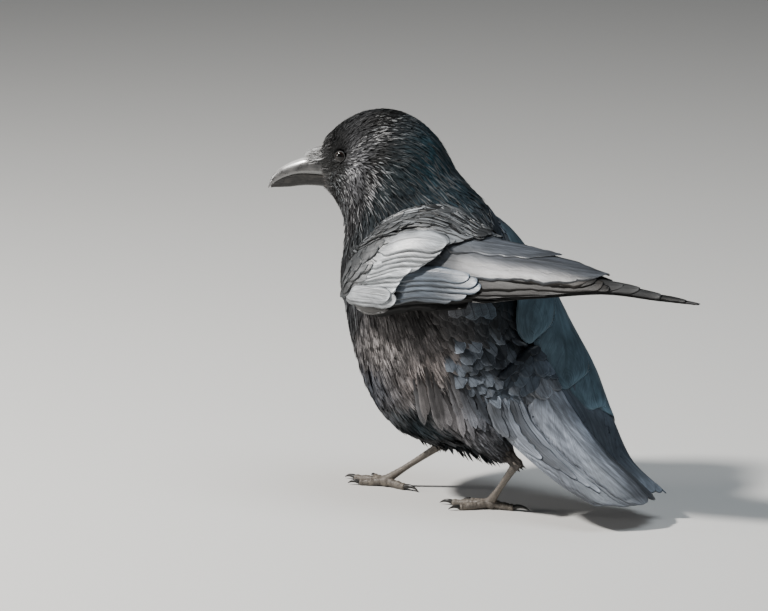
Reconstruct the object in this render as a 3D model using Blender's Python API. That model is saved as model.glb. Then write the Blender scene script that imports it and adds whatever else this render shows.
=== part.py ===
"""A carrion crow at life size, walking with its right foot forward and its left wing lifted clear of the back.

It faces -X, its left side is -Y, and its toes stand on the floor at Z = 0. All sizes are in millimetres
until a node is made. Every sub-part is a closed solid of its own, a hair's breadth clear of its neighbours.
"""

import math

import bmesh
import bpy
import numpy as np
from mathutils import Matrix, Vector
from mathutils.bvhtree import BVHTree

MM = 0.001
GAP = 0.32  # clearance left between neighbouring solids

# Body: each station is a slice through the side profile, from the bill's root to the vent.
# back x, back z, underside x, underside z, half width, lateral skew of the widest place towards the underside
STATIONS = np.array([
    (-94.5, 283.0, -92.0, 251.0, 10.5, 0.0),
    (-90.0, 293.5, -88.0, 245.5, 15.5, 0.1),
    (-79.5, 303.5, -83.0, 238.0, 20.0, 0.2),
    (-61.5, 313.0, -78.0, 228.5, 24.5, 0.2),
    (-39.0, 315.0, -76.0, 218.5, 29.0, 0.1),
    (-17.0, 306.0, -76.5, 208.0, 33.5, 0.0),
    (0.0, 288.5, -79.0, 195.0, 38.0, 0.0),
    (13.5, 265.0, -82.0, 180.0, 43.0, 0.0),
    (35.0, 245.0, -81.0, 162.0, 49.0, 0.0),
    (55.0, 218.0, -76.0, 138.0, 55.0, 0.0),
    (69.0, 186.0, -67.0, 110.0, 58.0, 0.1),
    (77.0, 152.0, -54.0, 81.0, 56.0, 0.2),
    (88.0, 123.0, -32.0, 57.0, 50.0, 0.2),
    (97.0, 108.0, 5.0, 45.0, 42.0, 0.1),
    (98.0, 101.0, 44.0, 47.0, 32.0, 0.0),
    (97.0, 97.0, 71.0, 62.0, 22.0, 0.0),
    (95.0, 93.0, 84.0, 78.0, 12.0, 0.0),
])
SIDES = 26  # points round one slice
HEAD_END, NECK_END, TRUNK_END = 5.2, 7.4, len(STATIONS) - 1.0
TURN_PIVOT_X = -10.0
HEAD_TURN = math.radians(16.0)  # the head looks a little to the bird's left
TURNED_UNTIL, STRAIGHT_FROM = 3.5, 9.0  # stations between which the neck takes up the turn

# Head
EYE_X, EYE_Z, EYE_RADIUS = -78.2, 279.5, 5.4
EYE_BULGE = 1.6  # how far an eye stands out of the head
# Bill: x of each slice, then the heights of the culmen, the mouth line and the lower edge, then the half width
BILL = np.array([
    (-90.0, 281.5, 261.5, 250.5, 9.4),
    (-100.0, 278.6, 262.3, 251.5, 8.6),
    (-109.0, 275.9, 262.4, 251.7, 7.7),
    (-117.0, 272.9, 261.8, 251.0, 6.6),
    (-125.0, 269.4, 259.6, 249.8, 5.2),
    (-132.5, 265.0, 256.2, 249.2, 3.6),
    (-139.0, 258.9, 251.9, 248.8, 2.0),
    (-142.8, 250.8, 248.0, 247.6, 0.7),
])
LOWER_END = 6.3  # slice where the lower mandible ends, inside the hook of the upper one
BRISTLES_END = 3.0  # slice that the nasal bristles reach
BRISTLE_DEPTH = 1.9

# Legs: the ball of each foot, the ankle above it and the knee inside the body
FEET = {
    "left": {"foot": (51.5, -14.0), "ankle": (82.5, -30.0, 44.0), "knee": (24.0, -27.0, 96.0), "toe_out": -6.0},
    "right": {"foot": (-56.0, 11.0), "ankle": (-9.0, 22.0, 39.0), "knee": (-26.0, 28.0, 100.0), "toe_out": 8.0},
}
BALL_HEIGHT = 5.2
TARSUS_RADIUS, ANKLE_RADIUS = 3.0, 4.1
SOLE_CUT = 0.35  # how far each toe is flattened where it stands
# name: turn from straight ahead (degrees, towards the outside), length, root radius, tip radius, claw length
TOES = {
    "middle": (2.0, 30.0, 3.3, 2.5, 11.0),
    "inner": (-26.0, 20.0, 3.1, 2.4, 10.0),
    "outer": (33.0, 23.0, 3.1, 2.3, 9.5),
    "hind": (183.0, 18.0, 3.3, 2.6, 14.0),
}

# Wings, as ribs from the wrist to the tip: inner edge (over the back), then outer edge (the leading edge)
RIBS_LIFTED = np.array([
    ((-44.0, -48.0, 206.0), (-52.0, -58.0, 172.0)),
    ((-24.0, -40.0, 230.0), (-29.0, -67.0, 162.0)),
    ((12.0, -28.0, 241.0), (6.0, -70.0, 170.0)),
    ((47.0, -20.0, 227.0), (46.0, -69.0, 175.5)),
    ((82.0, -20.0, 217.5), (84.0, -66.0, 183.5)),
    ((121.0, -26.0, 212.5), (122.0, -61.0, 188.5)),
    ((168.0, -36.0, 202.5), (169.0, -54.0, 194.2)),
    ((209.0, -40.0, 196.8), (210.0, -47.0, 191.8)),
    ((245.0, -41.5, 192.5), (245.0, -43.5, 190.5)),
])
RIBS_FOLDED = np.array([
    ((-38.0, 44.0, 198.0), (-54.0, 56.0, 166.0)),
    ((-2.0, 36.0, 222.0), (-38.0, 66.0, 142.0)),
    ((40.0, 14.0, 230.0), (-4.0, 70.0, 120.0)),
    ((70.0, -2.0, 192.0), (32.0, 70.0, 102.0)),
    ((84.0, -8.0, 148.0), (72.0, 65.0, 84.0)),
    ((105.0, 4.0, 112.0), (103.0, 54.0, 64.0)),
    ((131.0, 11.0, 84.0), (135.0, 41.0, 48.0)),
    ((154.0, 17.0, 49.5), (163.0, 31.0, 33.0)),
    ((189.0, 20.0, 22.5), (190.0, 23.0, 19.5)),
])
WINGS = {
    "left": {"ribs": RIBS_LIFTED, "bulge": (5.0, 10.0, 12.0, 10.0, 8.0, 6.0, 3.0, 1.5, 0.2), "ridge": 1.0},
    "right": {"ribs": RIBS_FOLDED, "bulge": (5.0, 10.0, 18.0, 27.5, 31.0, 25.5, 10.0, 1.5, 0.2), "ridge": 0.65},
}
WING_DEPTH = np.array([9.0, 10.0, 9.0, 6.5, 5.0, 4.0, 2.6, 1.8, 1.0])
COVERTS_END = 3.1  # rib where the coverts end and the flight feathers show
TERTIALS_END = 6.3  # rib where the longest tertial ends
TERTIAL_SHARE = 0.72  # share of the wing's width that the tertials cover
EDGE_CLEARANCE, WING_CLEARANCE = 2.4, 5.5  # least height of a wing's face above the body, at its edges and within

# Tail
TAIL_ROOT, TAIL_TIP = (84.0, 95.0), (187.0, 17.0)
TAIL_SWING = math.radians(2.0)  # how far it points to the bird's left
TAIL_HALF_ROOT, TAIL_HALF_TIP = 21.0, 36.0
TAIL_ROOF = 15.0  # how far the outer feathers sit below the middle ones
TAIL_ROUNDING = 17.0  # how much shorter the outermost feathers are
TAIL_DEPTH_ROOT, TAIL_DEPTH_TIP = 7.0, 1.6


def clear_scene():
    for old in list(bpy.data.objects):
        bpy.data.objects.remove(old)


def material(name, colour, roughness):
    made = bpy.data.materials.new(name)
    made.use_nodes = True
    shader = made.node_tree.nodes["Principled BSDF"]
    shader.inputs["Base Color"].default_value = (*colour, 1.0)
    shader.inputs["Roughness"].default_value = roughness
    made.diffuse_color = (*colour, 1.0)
    return made


def node(name, points, faces, finish):
    """A named object from points in millimetres, with its faces turned outwards."""
    mesh = bpy.data.meshes.new(name)
    mesh.from_pydata([tuple(p * MM) for p in np.asarray(points, float)], [], faces)
    work = bmesh.new()
    work.from_mesh(mesh)
    bmesh.ops.recalc_face_normals(work, faces=work.faces)
    work.to_mesh(mesh)
    work.free()
    mesh.shade_smooth()
    made = bpy.data.objects.new(name, mesh)
    made.data.materials.append(finish)
    bpy.context.scene.collection.objects.link(made)
    return made


def along(rows, t):
    """The smooth curve through evenly spaced rows, at t counted in rows."""
    last = len(rows) - 1
    i = int(min(max(math.floor(t), 0), last - 1))
    f = t - i
    a, b, c, d = rows[max(i - 1, 0)], rows[i], rows[i + 1], rows[min(i + 2, last)]
    return b + 0.5 * f * (c - a + f * (2 * a - 5 * b + 4 * c - d + f * (3 * (b - c) + d - a)))


def smooth_step(t):
    t = min(max(t, 0.0), 1.0)
    return t * t * (3 - 2 * t)


def turn_at(station):
    return HEAD_TURN * (1 - smooth_step((station - TURNED_UNTIL) / (STRAIGHT_FROM - TURNED_UNTIL)))


def turned(points, angle):
    """Points of the straight bird, turned to its left about the neck's upright axis."""
    points = np.array(points, float)
    x, y = points[..., 0] - TURN_PIVOT_X, points[..., 1].copy()
    points[..., 0] = TURN_PIVOT_X + x * math.cos(angle) - y * math.sin(angle)
    points[..., 1] = x * math.sin(angle) + y * math.cos(angle)
    return points


def slice_at(station, shift=0.0):
    """One closed slice of the body, moved by shift along the body, square to its own plane."""
    bx, bz, ux, uz, half, skew = along(STATIONS, station)
    back, under = np.array((bx, 0, bz)), np.array((ux, 0, uz))
    across = np.array((0.0, 1.0, 0.0))
    ahead = np.cross(across, (back - under) / np.linalg.norm(back - under))
    if ahead[0] - ahead[2] < 0:
        ahead = -ahead
    rows = []
    for k in range(SIDES):
        angle = 2 * math.pi * k / SIDES
        down = (1 - math.cos(angle)) / 2
        down += skew * down * (1 - down)
        rows.append(back + (under - back) * down + across * half * math.sin(angle) + ahead * shift)
    return turned(rows, turn_at(station))


def loft(rings):
    """Points and faces of the closed solid through rings of as many points each."""
    count = len(rings[0])
    points = [p for ring in rings for p in ring]
    faces = []
    for r in range(len(rings) - 1):
        for k in range(count):
            a, b = r * count + k, r * count + (k + 1) % count
            faces.append((a, b, b + count, a + count))
    for ring, start in ((rings[0], 0), (rings[-1], (len(rings) - 1) * count)):
        points.append(np.mean(ring, axis=0))
        middle = len(points) - 1
        faces += [(start + k, start + (k + 1) % count, middle) for k in range(count)]
    return points, faces


def body_part(name, first, last, steps, finish):
    stations = np.linspace(first, last, steps + 1)
    rings = [slice_at(s) for s in stations]
    if first > 0:
        rings[0] = slice_at(first, GAP / 2)
    if last < TRUNK_END:
        rings[-1] = slice_at(last, -GAP / 2)
    return node(name, *loft(rings), finish)


def sheet(name, surface, depth, steps, finish, keep_above=None):
    """A curved plate. surface(u, v) is a point of its outer face, depth(u, v) its thickness; both run 0 to 1."""
    nu, nv = steps
    u, v = np.linspace(0, 1, nu + 1), np.linspace(0, 1, nv + 1)
    outer = np.array([[surface(a, b) for b in v] for a in u])
    if keep_above is not None:
        tree, least = keep_above
        outer = lifted(outer, tree, [[least(a, b) for b in v] for a in u])
    du, dv = np.gradient(outer, axis=0), np.gradient(outer, axis=1)
    normal = np.cross(du, dv)
    normal /= np.maximum(np.linalg.norm(normal, axis=2, keepdims=True), 1e-9)
    thick = np.array([[depth(a, b) for b in v] for a in u])
    inner = outer - normal * thick[..., None]
    points = np.concatenate([outer.reshape(-1, 3), inner.reshape(-1, 3)])
    below = (nu + 1) * (nv + 1)

    def at(i, j):
        return i * (nv + 1) + j

    faces = []
    for i in range(nu):
        for j in range(nv):
            quad = (at(i, j), at(i + 1, j), at(i + 1, j + 1), at(i, j + 1))
            faces += [quad, tuple(below + k for k in reversed(quad))]
    rim = [at(i, 0) for i in range(nu)] + [at(nu, j) for j in range(nv)]
    rim += [at(i, nv) for i in range(nu, 0, -1)] + [at(0, j) for j in range(nv, 0, -1)]
    for a, b in zip(rim, rim[1:] + rim[:1]):
        faces.append((b, a, a + below, b + below))
    return node(name, points, faces, finish)


def lifted(points, tree, clearance):
    """Points no lower than their clearance above the surface that tree holds."""
    flat = points.reshape(-1, 3).copy()
    for k, (p, least) in enumerate(zip(flat, np.ravel(clearance))):
        near, normal, _, distance = tree.find_nearest(Vector(p * MM))
        inside = (Vector(p * MM) - near).dot(normal) < 0
        if inside or distance < least * MM:
            flat[k] = np.array(near + normal * least * MM) / MM
    return flat.reshape(points.shape)


def surface_tree(*solids):
    points, faces = [], []
    for made in solids:
        faces += [tuple(len(points) + k for k in p.vertices) for p in made.data.polygons]
        points += [v.co for v in made.data.vertices]
    return BVHTree.FromPolygons(points, faces)


def tube(name, path, radii, finish, sides=12, leaves_along=None):
    """A round rod along path, with its ends closed. leaves_along squares its first end to that direction."""
    path = np.array(path, float)
    radii = np.array(radii, float)
    tangents = np.gradient(path, axis=0)
    if leaves_along is not None:
        tangents[0] = leaves_along
    rings = []
    for p, radius, tangent in zip(path, radii, tangents):
        tangent = tangent / np.linalg.norm(tangent)
        side = np.cross(tangent, (0.0, 0.0, 1.0))
        if np.linalg.norm(side) < 1e-3:
            side = np.cross(tangent, (1.0, 0.0, 0.0))
        side /= np.linalg.norm(side)
        up = np.cross(side, tangent)
        angles = 2 * math.pi * np.arange(sides) / sides
        ring = p + radius * (np.outer(np.cos(angles), side) + np.outer(np.sin(angles), up))
        rings.append(ring)
    return node(name, *loft(rings), finish)


def swollen(made, amount):
    """A hidden copy of a solid, grown by amount on every side, to cut its neighbours with."""
    copy = made.copy()
    copy.data = made.data.copy()
    work = bmesh.new()
    work.from_mesh(copy.data)
    work.normal_update()
    moved = [(v, v.co + v.normal * min(v.calc_shell_factor(), 1.5) * amount * MM) for v in work.verts]
    for vertex, place in moved:
        vertex.co = place
    work.to_mesh(copy.data)
    work.free()
    copy.name = made.name + "_cutter"
    bpy.context.scene.collection.objects.link(copy)
    return copy


def boolean(made, other, operation):
    modifier = made.modifiers.new(operation.lower(), "BOOLEAN")
    modifier.operation, modifier.solver, modifier.object = operation, "EXACT", other
    graph = bpy.context.evaluated_depsgraph_get()
    result = bpy.data.meshes.new_from_object(made.evaluated_get(graph))
    made.modifiers.clear()
    made.data = result
    bpy.data.objects.remove(other)


def fit_round(made, *neighbours):
    """Cuts made back from each neighbour, leaving the usual gap."""
    for neighbour in neighbours:
        boolean(made, swollen(neighbour, GAP), "DIFFERENCE")


def stand_flat(made):
    """Cuts made off at the floor."""
    work = bmesh.new()
    work.from_mesh(made.data)
    geometry = work.verts[:] + work.edges[:] + work.faces[:]
    cut = bmesh.ops.bisect_plane(work, geom=geometry, plane_co=(0, 0, 0), plane_no=(0, 0, -1), clear_outer=True)
    edges = [e for e in cut["geom_cut"] if isinstance(e, bmesh.types.BMEdge)]
    bmesh.ops.holes_fill(work, edges=edges)
    bmesh.ops.recalc_face_normals(work, faces=work.faces)
    work.to_mesh(made.data)
    work.free()


def make_body(finish):
    head = body_part("head", 0.0, HEAD_END, 14, finish["feather"])
    neck = body_part("neck", HEAD_END, NECK_END, 5, finish["feather"])
    trunk = body_part("trunk", NECK_END, TRUNK_END, 16, finish["feather"])
    return head, neck, trunk


def make_eyes(head, finish):
    tree = surface_tree(head)
    outward = Vector(turned([(TURN_PIVOT_X, 1.0, 0.0)], HEAD_TURN)[0] - turned([(TURN_PIVOT_X, 0, 0)], HEAD_TURN)[0])
    for side, sign in (("left", -1), ("right", 1)):
        start = Vector(turned([(EYE_X, 0.0, EYE_Z)], HEAD_TURN)[0] * MM)
        surface, normal, _, _ = tree.ray_cast(start, sign * outward)
        centre = np.array(surface - normal * (EYE_RADIUS - EYE_BULGE) * MM) / MM
        work = bmesh.new()
        place = Matrix.Translation(Vector(centre * MM))
        bmesh.ops.create_uvsphere(work, u_segments=12, v_segments=8, radius=EYE_RADIUS * MM, matrix=place)
        mesh = bpy.data.meshes.new("eye_" + side)
        work.to_mesh(mesh)
        work.free()
        mesh.shade_smooth()
        eye = bpy.data.objects.new("eye_" + side, mesh)
        mesh.materials.append(finish["eye"])
        bpy.context.scene.collection.objects.link(eye)
        fit_round(head, eye)


def mandible(first, last, slices, top, bottom, spread=1.0):
    """A closed half of the bill. top and bottom pick its heights from a row of BILL; the mouth side is flat."""
    rings = []
    for t in np.linspace(first, last, slices):
        row = along(BILL, t)
        flat, arched = row[top], row[bottom]
        gap = math.copysign(GAP / 2, arched - flat)
        angles = np.linspace(0, math.pi, 11)
        rings.append([(row[0], spread * row[4] * math.cos(a),
                       flat + gap + (arched - flat - gap) * math.sin(a) ** 0.75) for a in angles])
    return loft([turned(ring, HEAD_TURN) for ring in rings])


def bristle_hood():
    """The stiff feathers that lie forward over the nostrils: deep at the forehead, a mere lick in front."""
    rings = []
    for t in np.linspace(0, BRISTLES_END, 6):
        x, culmen, mouth, _, half = along(BILL, t)
        left = 1 - t / BRISTLES_END
        over = 0.7 + BRISTLE_DEPTH * left
        bottom = mouth + (culmen - mouth) * (0.72 - 0.5 * left)
        middle, rise = (culmen + over + bottom) / 2, (culmen + over - bottom) / 2
        width = half * (0.55 + 0.45 * left**0.5) + over * left**0.3
        angles = np.linspace(0, 2 * math.pi, 14, endpoint=False)
        rings.append([(x, width * math.cos(a), middle + rise * math.sin(a)) for a in angles])
    return loft([turned(ring, HEAD_TURN) for ring in rings])


def make_bill(head, finish):
    last = len(BILL) - 1.0
    bill_upper = node("bill_upper", *mandible(0.0, last, 12, 2, 1), finish["horn"])
    bill_lower = node("bill_lower", *mandible(0.0, LOWER_END, 9, 2, 3, 0.92), finish["horn"])
    tuft = node("nasal_bristles", *bristle_hood(), finish["feather"])
    fit_round(bill_upper, head)
    fit_round(bill_lower, head, bill_upper)
    fit_round(tuft, head, bill_upper)


def wing_part(name, wing, first, last, edges, body_tree, finish, steps, side):
    """A plate of the wing between two ribs. edges(rib) gives the shares of the width that it covers."""

    ribs, bulges = wing["ribs"], np.array(wing["bulge"])

    def rib_at(u):
        return first + (last - first) * u

    def surface(u, v):
        rib = rib_at(u)
        low, high = edges(rib)
        share = low + (high - low) * v
        inner, outer = along(ribs, rib)
        run = along(ribs, min(rib + 0.3, len(ribs) - 1.0)) - along(ribs, max(rib - 0.3, 0.0))
        out = np.cross(run[0] + run[1], outer - inner)
        out *= side / max(np.linalg.norm(out), 1e-9)
        bulge = along(bulges, rib) * math.sin(math.pi * share ** wing["ridge"])
        return inner + (outer - inner) * share + out * bulge

    def depth(u, v):
        rib = rib_at(u)
        thick = along(WING_DEPTH, rib)
        low, high = edges(rib)
        share = low + (high - low) * v
        return side * (0.9 + (thick - 0.9) * (4 * share * (1 - share)) ** 0.5)

    def least(u, v):
        low, high = edges(rib_at(u))
        share = low + (high - low) * v
        return EDGE_CLEARANCE + (WING_CLEARANCE - EDGE_CLEARANCE) * min(1.0, 5 * share, 5 * (1 - share), 5 * rib_at(u))

    return sheet(name, surface, depth, steps, finish, (body_tree, least))


def tertial_edge(rib):
    """Share of the wing's width that the tertials reach across at a rib."""
    narrowing = smooth_step((rib - 4.6) / (TERTIALS_END - 4.6))
    return TERTIAL_SHARE * (1 - narrowing) + 0.16 * narrowing


def make_wing(name, wing, side, body, tail, finish):
    """Coverts, tertials with secondaries, and primaries. side is -1 for the left wing and 1 for the right one."""
    whole = body_part("whole_body", HEAD_END - 1, TRUNK_END, 30, None)
    body_tree = surface_tree(whole)
    bpy.data.objects.remove(whole)
    seam = 0.012  # half the gap between neighbouring plates, in ribs or shares of the width
    last = len(wing["ribs"]) - 1.0
    coverts = wing_part(name + "_coverts", wing, 0.0, COVERTS_END - seam, lambda rib: (0.0, 1.0),
                        body_tree, finish["covert"], (8, 6), side)
    tertials = wing_part(name + "_tertials", wing, COVERTS_END + seam, TERTIALS_END,
                         lambda rib: (0.0, tertial_edge(rib) - seam), body_tree, finish["covert"], (9, 5), side)
    primaries = wing_part(name + "_primaries", wing, COVERTS_END + seam, last,
                          lambda rib: (tertial_edge(rib) + seam if rib < TERTIALS_END + 0.1 else
                                       0.16 * (1 - smooth_step((rib - TERTIALS_END - 0.1) / 0.6)), 1.0),
                          body_tree, finish["covert"], (16, 3), side)
    for part in (coverts, tertials, primaries):
        fit_round(part, *body)
    fit_round(tertials, coverts)
    fit_round(primaries, coverts, tertials, tail)


def make_tail(trunk, finish):
    reach = TAIL_TIP[0] - TAIL_ROOT[0]
    root = np.array((TAIL_ROOT[0], 0, TAIL_ROOT[1]))
    tip = np.array((TAIL_TIP[0], -reach * math.tan(TAIL_SWING), TAIL_TIP[1]))
    run = (tip - root) / np.linalg.norm(tip - root)
    length = np.linalg.norm(tip - root)
    up = np.cross((0.0, 1.0, 0.0), run)
    up *= math.copysign(1.0, up[2])

    def surface(u, v):
        side = 2 * v - 1
        reach = u * (length - TAIL_ROUNDING * abs(side) ** 2.4)
        half = TAIL_HALF_ROOT + (TAIL_HALF_TIP - TAIL_HALF_ROOT) * u**0.8
        return root + run * reach + np.array((0, side * half, 0)) - up * TAIL_ROOF * side * side * (1 - 0.4 * u)

    def depth(u, v):
        return TAIL_DEPTH_ROOT + (TAIL_DEPTH_TIP - TAIL_DEPTH_ROOT) * u**0.5

    tail = sheet("tail", surface, depth, (8, 8), finish["covert"])
    fit_round(tail, trunk)
    return tail


def make_leg(side, trunk, thighs, finish):
    places = FEET[side]
    sign = -1 if side == "left" else 1
    ball = np.array((*places["foot"], BALL_HEIGHT))
    ankle, knee = np.array(places["ankle"]), np.array(places["knee"])

    shares = np.linspace(0, 1, 9)
    thigh_radii = 5.0 + 13.0 * np.sin(shares * 2.9) ** 0.8
    ends = ankle + (knee - ankle) * 0.06
    thigh = tube("thigh_" + side, ends + np.outer(shares, knee - ends), thigh_radii, finish["feather"], 12)
    fit_round(trunk, thigh)
    thighs.append(thigh)

    foot = foot_pad("foot_" + side, ball, finish["scute"])
    for toe, (turn, length, root, tip, claw_length) in TOES.items():
        yaw = math.radians(places["toe_out"] + sign * turn)
        heading = np.array((-math.cos(yaw), math.sin(yaw), 0.0))
        path, knuckles = toe_path(ball + heading, heading, length + 1.0, root - SOLE_CUT)
        path[:, 2] -= np.linspace(0, root - tip, len(path))
        radii = np.linspace(root, tip, len(path)) + knuckles * 0.7
        boolean(foot, tube("toe", path, radii, finish["scute"], 10), "UNION")
        make_claw(f"claw_{side}_{toe}", path[-1] + heading * GAP, heading, claw_length, tip * 0.84, finish)
    stand_flat(foot)

    shares = np.linspace(0, 1, 9)
    tarsus_radii = TARSUS_RADIUS + (ANKLE_RADIUS - TARSUS_RADIUS) * shares**5 + 0.8 * (1 - shares) ** 4
    tarsus = tube("tarsus_" + side, ball + np.outer(shares, ankle - ball), tarsus_radii, finish["scute"], 10)
    fit_round(tarsus, thigh, foot)


def foot_pad(name, ball, finish):
    """The ball of the foot, to which the toes are joined."""
    work = bmesh.new()
    place = Matrix.Translation(Vector((ball - (0, 0, 0.8)) * MM)) @ Matrix.Diagonal((6.2, 5.6, 4.7, 1.0))
    bmesh.ops.create_uvsphere(work, u_segments=12, v_segments=8, radius=MM, matrix=place)
    mesh = bpy.data.meshes.new(name)
    work.to_mesh(mesh)
    work.free()
    mesh.shade_smooth()
    mesh.materials.append(finish)
    pad = bpy.data.objects.new(name, mesh)
    bpy.context.scene.collection.objects.link(pad)
    return pad


def toe_path(start, heading, length, height):
    """Points of a toe along the floor from the ball of the foot, with its knuckles a little raised."""
    shares = np.linspace(0, 1, 9)
    knuckles = 0.5 * np.abs(np.sin(shares * math.pi * 2.5))
    points = start[None] + np.outer(shares * length, heading)
    points[:, 2] = height + 1.6 * (1 - shares) ** 2 + knuckles * 0.6
    return points, knuckles


def make_claw(name, start, heading, length, radius, finish):
    """A claw that rises a little from the toe and curves down to the floor."""
    shares = np.linspace(0, 1, 7)
    angles = math.radians(24.0) - 1.1 * shares
    steps = np.stack([np.cos(angles), np.sin(angles)], axis=1) * length / (len(shares) - 1)
    reach = np.concatenate([[(0.0, 0.0)], np.cumsum(steps[:-1], axis=0)])
    path = start + np.outer(reach[:, 0], heading) + np.outer(reach[:, 1], (0.0, 0.0, 1.0))
    radii = 0.35 + (radius - 0.35) * (1 - shares) ** 0.8
    path[:, 2] = np.maximum(path[:, 2], radii - 0.05)
    claw = tube(name, path, radii, finish["horn"], 7, heading)
    stand_flat(claw)


def finishes():
    return {
        "feather": material("body_feather", (0.016, 0.016, 0.019), 0.5),
        "covert": material("flight_feather", (0.03, 0.032, 0.04), 0.35),
        "horn": material("horn", (0.03, 0.03, 0.032), 0.3),
        "scute": material("leg_scute", (0.045, 0.04, 0.037), 0.5),
        "eye": material("eye", (0.012, 0.007, 0.004), 0.05),
    }


def centre_on_floor():
    """Moves the whole bird so that the middle of its outline lies over the origin."""
    corners = np.array([v.co for made in bpy.data.objects for v in made.data.vertices])
    middle = (corners.min(0) + corners.max(0)) / 2
    for made in bpy.data.objects:
        made.data.transform(Matrix.Translation((-middle[0], -middle[1], 0.0)))


def build():
    clear_scene()
    finish = finishes()
    head, neck, trunk = make_body(finish)
    make_eyes(head, finish)
    make_bill(head, finish)
    thighs = []
    for side in FEET:
        make_leg(side, trunk, thighs, finish)
    tail = make_tail(trunk, finish)
    body = (neck, trunk, *thighs)
    for side, sign in (("left", -1), ("right", 1)):
        make_wing("wing_" + side, WINGS[side], sign, body, tail, finish)
    centre_on_floor()


build()
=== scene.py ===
"""A carrion crow in full plumage at life size: skin, body and flight feathers, bill, eyes and scaled feet.

Shapes are worked out in millimetres, in the bird's own coordinates: it faces -X with its left side at -Y.
ORIGIN carries them to the floor frame, and MM to metres, when a mesh is made.
"""

import math

import bmesh
import bpy
import numpy as np
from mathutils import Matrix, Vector
from mathutils.bvhtree import BVHTree


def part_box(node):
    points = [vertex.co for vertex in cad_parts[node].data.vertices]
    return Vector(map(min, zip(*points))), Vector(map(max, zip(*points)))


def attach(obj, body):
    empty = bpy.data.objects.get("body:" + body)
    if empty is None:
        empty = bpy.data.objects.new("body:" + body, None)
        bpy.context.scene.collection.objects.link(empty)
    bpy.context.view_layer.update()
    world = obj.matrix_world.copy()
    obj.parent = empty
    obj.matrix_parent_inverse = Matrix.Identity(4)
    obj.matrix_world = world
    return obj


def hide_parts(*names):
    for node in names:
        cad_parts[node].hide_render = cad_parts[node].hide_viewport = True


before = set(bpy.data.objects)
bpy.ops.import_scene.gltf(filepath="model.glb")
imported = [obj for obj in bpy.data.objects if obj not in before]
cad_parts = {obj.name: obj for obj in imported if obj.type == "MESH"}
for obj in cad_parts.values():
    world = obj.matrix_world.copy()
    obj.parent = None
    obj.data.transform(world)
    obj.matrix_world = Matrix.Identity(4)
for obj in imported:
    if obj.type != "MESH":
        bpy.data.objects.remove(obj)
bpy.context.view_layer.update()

MM = 0.001
ORIGIN = np.array((-50.52, -1.66, 0.0))
MOST_TRIANGLES = 190000  # in one piece of the coat
PATCH = 0.003  # one small feather's own square of the bake map
SIDES = {"left": -1, "right": 1}
BODY_NODES = ("head", "neck", "trunk", "thigh_left", "thigh_right")
rng = np.random.default_rng(11)

# ---------------------------------------------------------------- the bird's measures

# Body slices from the bill's root to the vent: back x, back z, underside x, underside z, half width
STATIONS = np.array([
    (-94.5, 283, -92, 251, 10.5), (-90, 293.5, -88, 245.5, 15.5), (-79.5, 303.5, -83, 238, 20),
    (-61.5, 313, -78, 228.5, 24.5), (-39, 315, -76, 218.5, 29), (-17, 306, -76.5, 208, 33.5),
    (0, 288.5, -79, 195, 38), (13.5, 265, -82, 180, 43), (35, 245, -81, 162, 49),
    (55, 218, -76, 138, 55), (69, 186, -67, 110, 58), (77, 152, -54, 81, 56), (88, 123, -32, 57, 50),
    (97, 108, 5, 45, 42), (98, 101, 44, 47, 32), (97, 97, 71, 62, 22), (95, 93, 84, 78, 12),
])
PIVOT_X, HEAD_TURN = -10.0, math.radians(16.0)
TURNED_UNTIL, STRAIGHT_FROM = 3.5, 9.0

# Bill slices: x, culmen, mouth line, lower edge, half width
BILL = np.array([
    (-90, 281.5, 261.5, 250.5, 9.4), (-100, 278.6, 262.3, 251.5, 8.6), (-109, 275.9, 262.4, 251.7, 7.7),
    (-117, 272.9, 261.8, 251, 6.6), (-125, 269.4, 259.6, 249.8, 5.2), (-132.5, 265, 256.2, 249.2, 3.6),
    (-139, 258.9, 251.9, 248.8, 2), (-142.8, 250.8, 248, 247.6, 0.7),
])
CULMEN, MOUTH_LINE, LOWER_EDGE = 1, 2, 3
LOWER_END, EYE_RADIUS, LID_DISTANCE, LID_RADIUS = 6.3, 5.4, 3.45, 4.35
PUPIL_EDGE, IRIS_EDGE = 0.40, 0.78  # angles from the eye's axis

# Wing ribs from the wrist to the tip: the edge over the back, then the leading edge
RIBS_LIFTED = np.array([
    ((-44, -48, 206), (-52, -58, 172)), ((-24, -40, 230), (-29, -67, 162)),
    ((12, -28, 241), (6, -70, 170)), ((47, -20, 227), (46, -69, 175.5)),
    ((82, -20, 217.5), (84, -66, 183.5)), ((121, -26, 212.5), (122, -61, 188.5)),
    ((168, -36, 202.5), (169, -54, 194.2)), ((209, -40, 196.8), (210, -47, 191.8)),
    ((245, -41.5, 192.5), (245, -43.5, 190.5)),
])
RIBS_FOLDED = np.array([
    ((-38, 44, 198), (-54, 56, 166)), ((-2, 36, 222), (-38, 66, 142)), ((40, 14, 230), (-4, 70, 120)),
    ((70, -2, 192), (32, 70, 102)), ((84, -8, 148), (72, 65, 84)), ((105, 4, 112), (103, 54, 64)),
    ((131, 11, 84), (135, 41, 48)), ((154, 17, 49.5), (163, 31, 33)),
    ((189, 20, 22.5), (190, 23, 19.5)),
])
# How far each rib bulges, where it bulges most (1 is midway, less is nearer the back), the way that feathers
# roll over the back (shares of the rib's own direction and of the bulge's), least half width
WINGS = {
    "left": {"ribs": RIBS_LIFTED, "bulge": (5.0, 10.0, 12.0, 10.0, 8.0, 6.0, 3.0, 1.5, 0.2),
             "ridge": 1.0, "roll": (0.2, 0.98), "least_half": 4.0},
    "right": {"ribs": RIBS_FOLDED, "bulge": (5.0, 10.0, 18.0, 27.5, 31.0, 25.5, 10.0, 1.5, 0.2),
              "ridge": 0.65, "roll": (0.15, 1.0), "least_half": 12.0},
}

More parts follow.
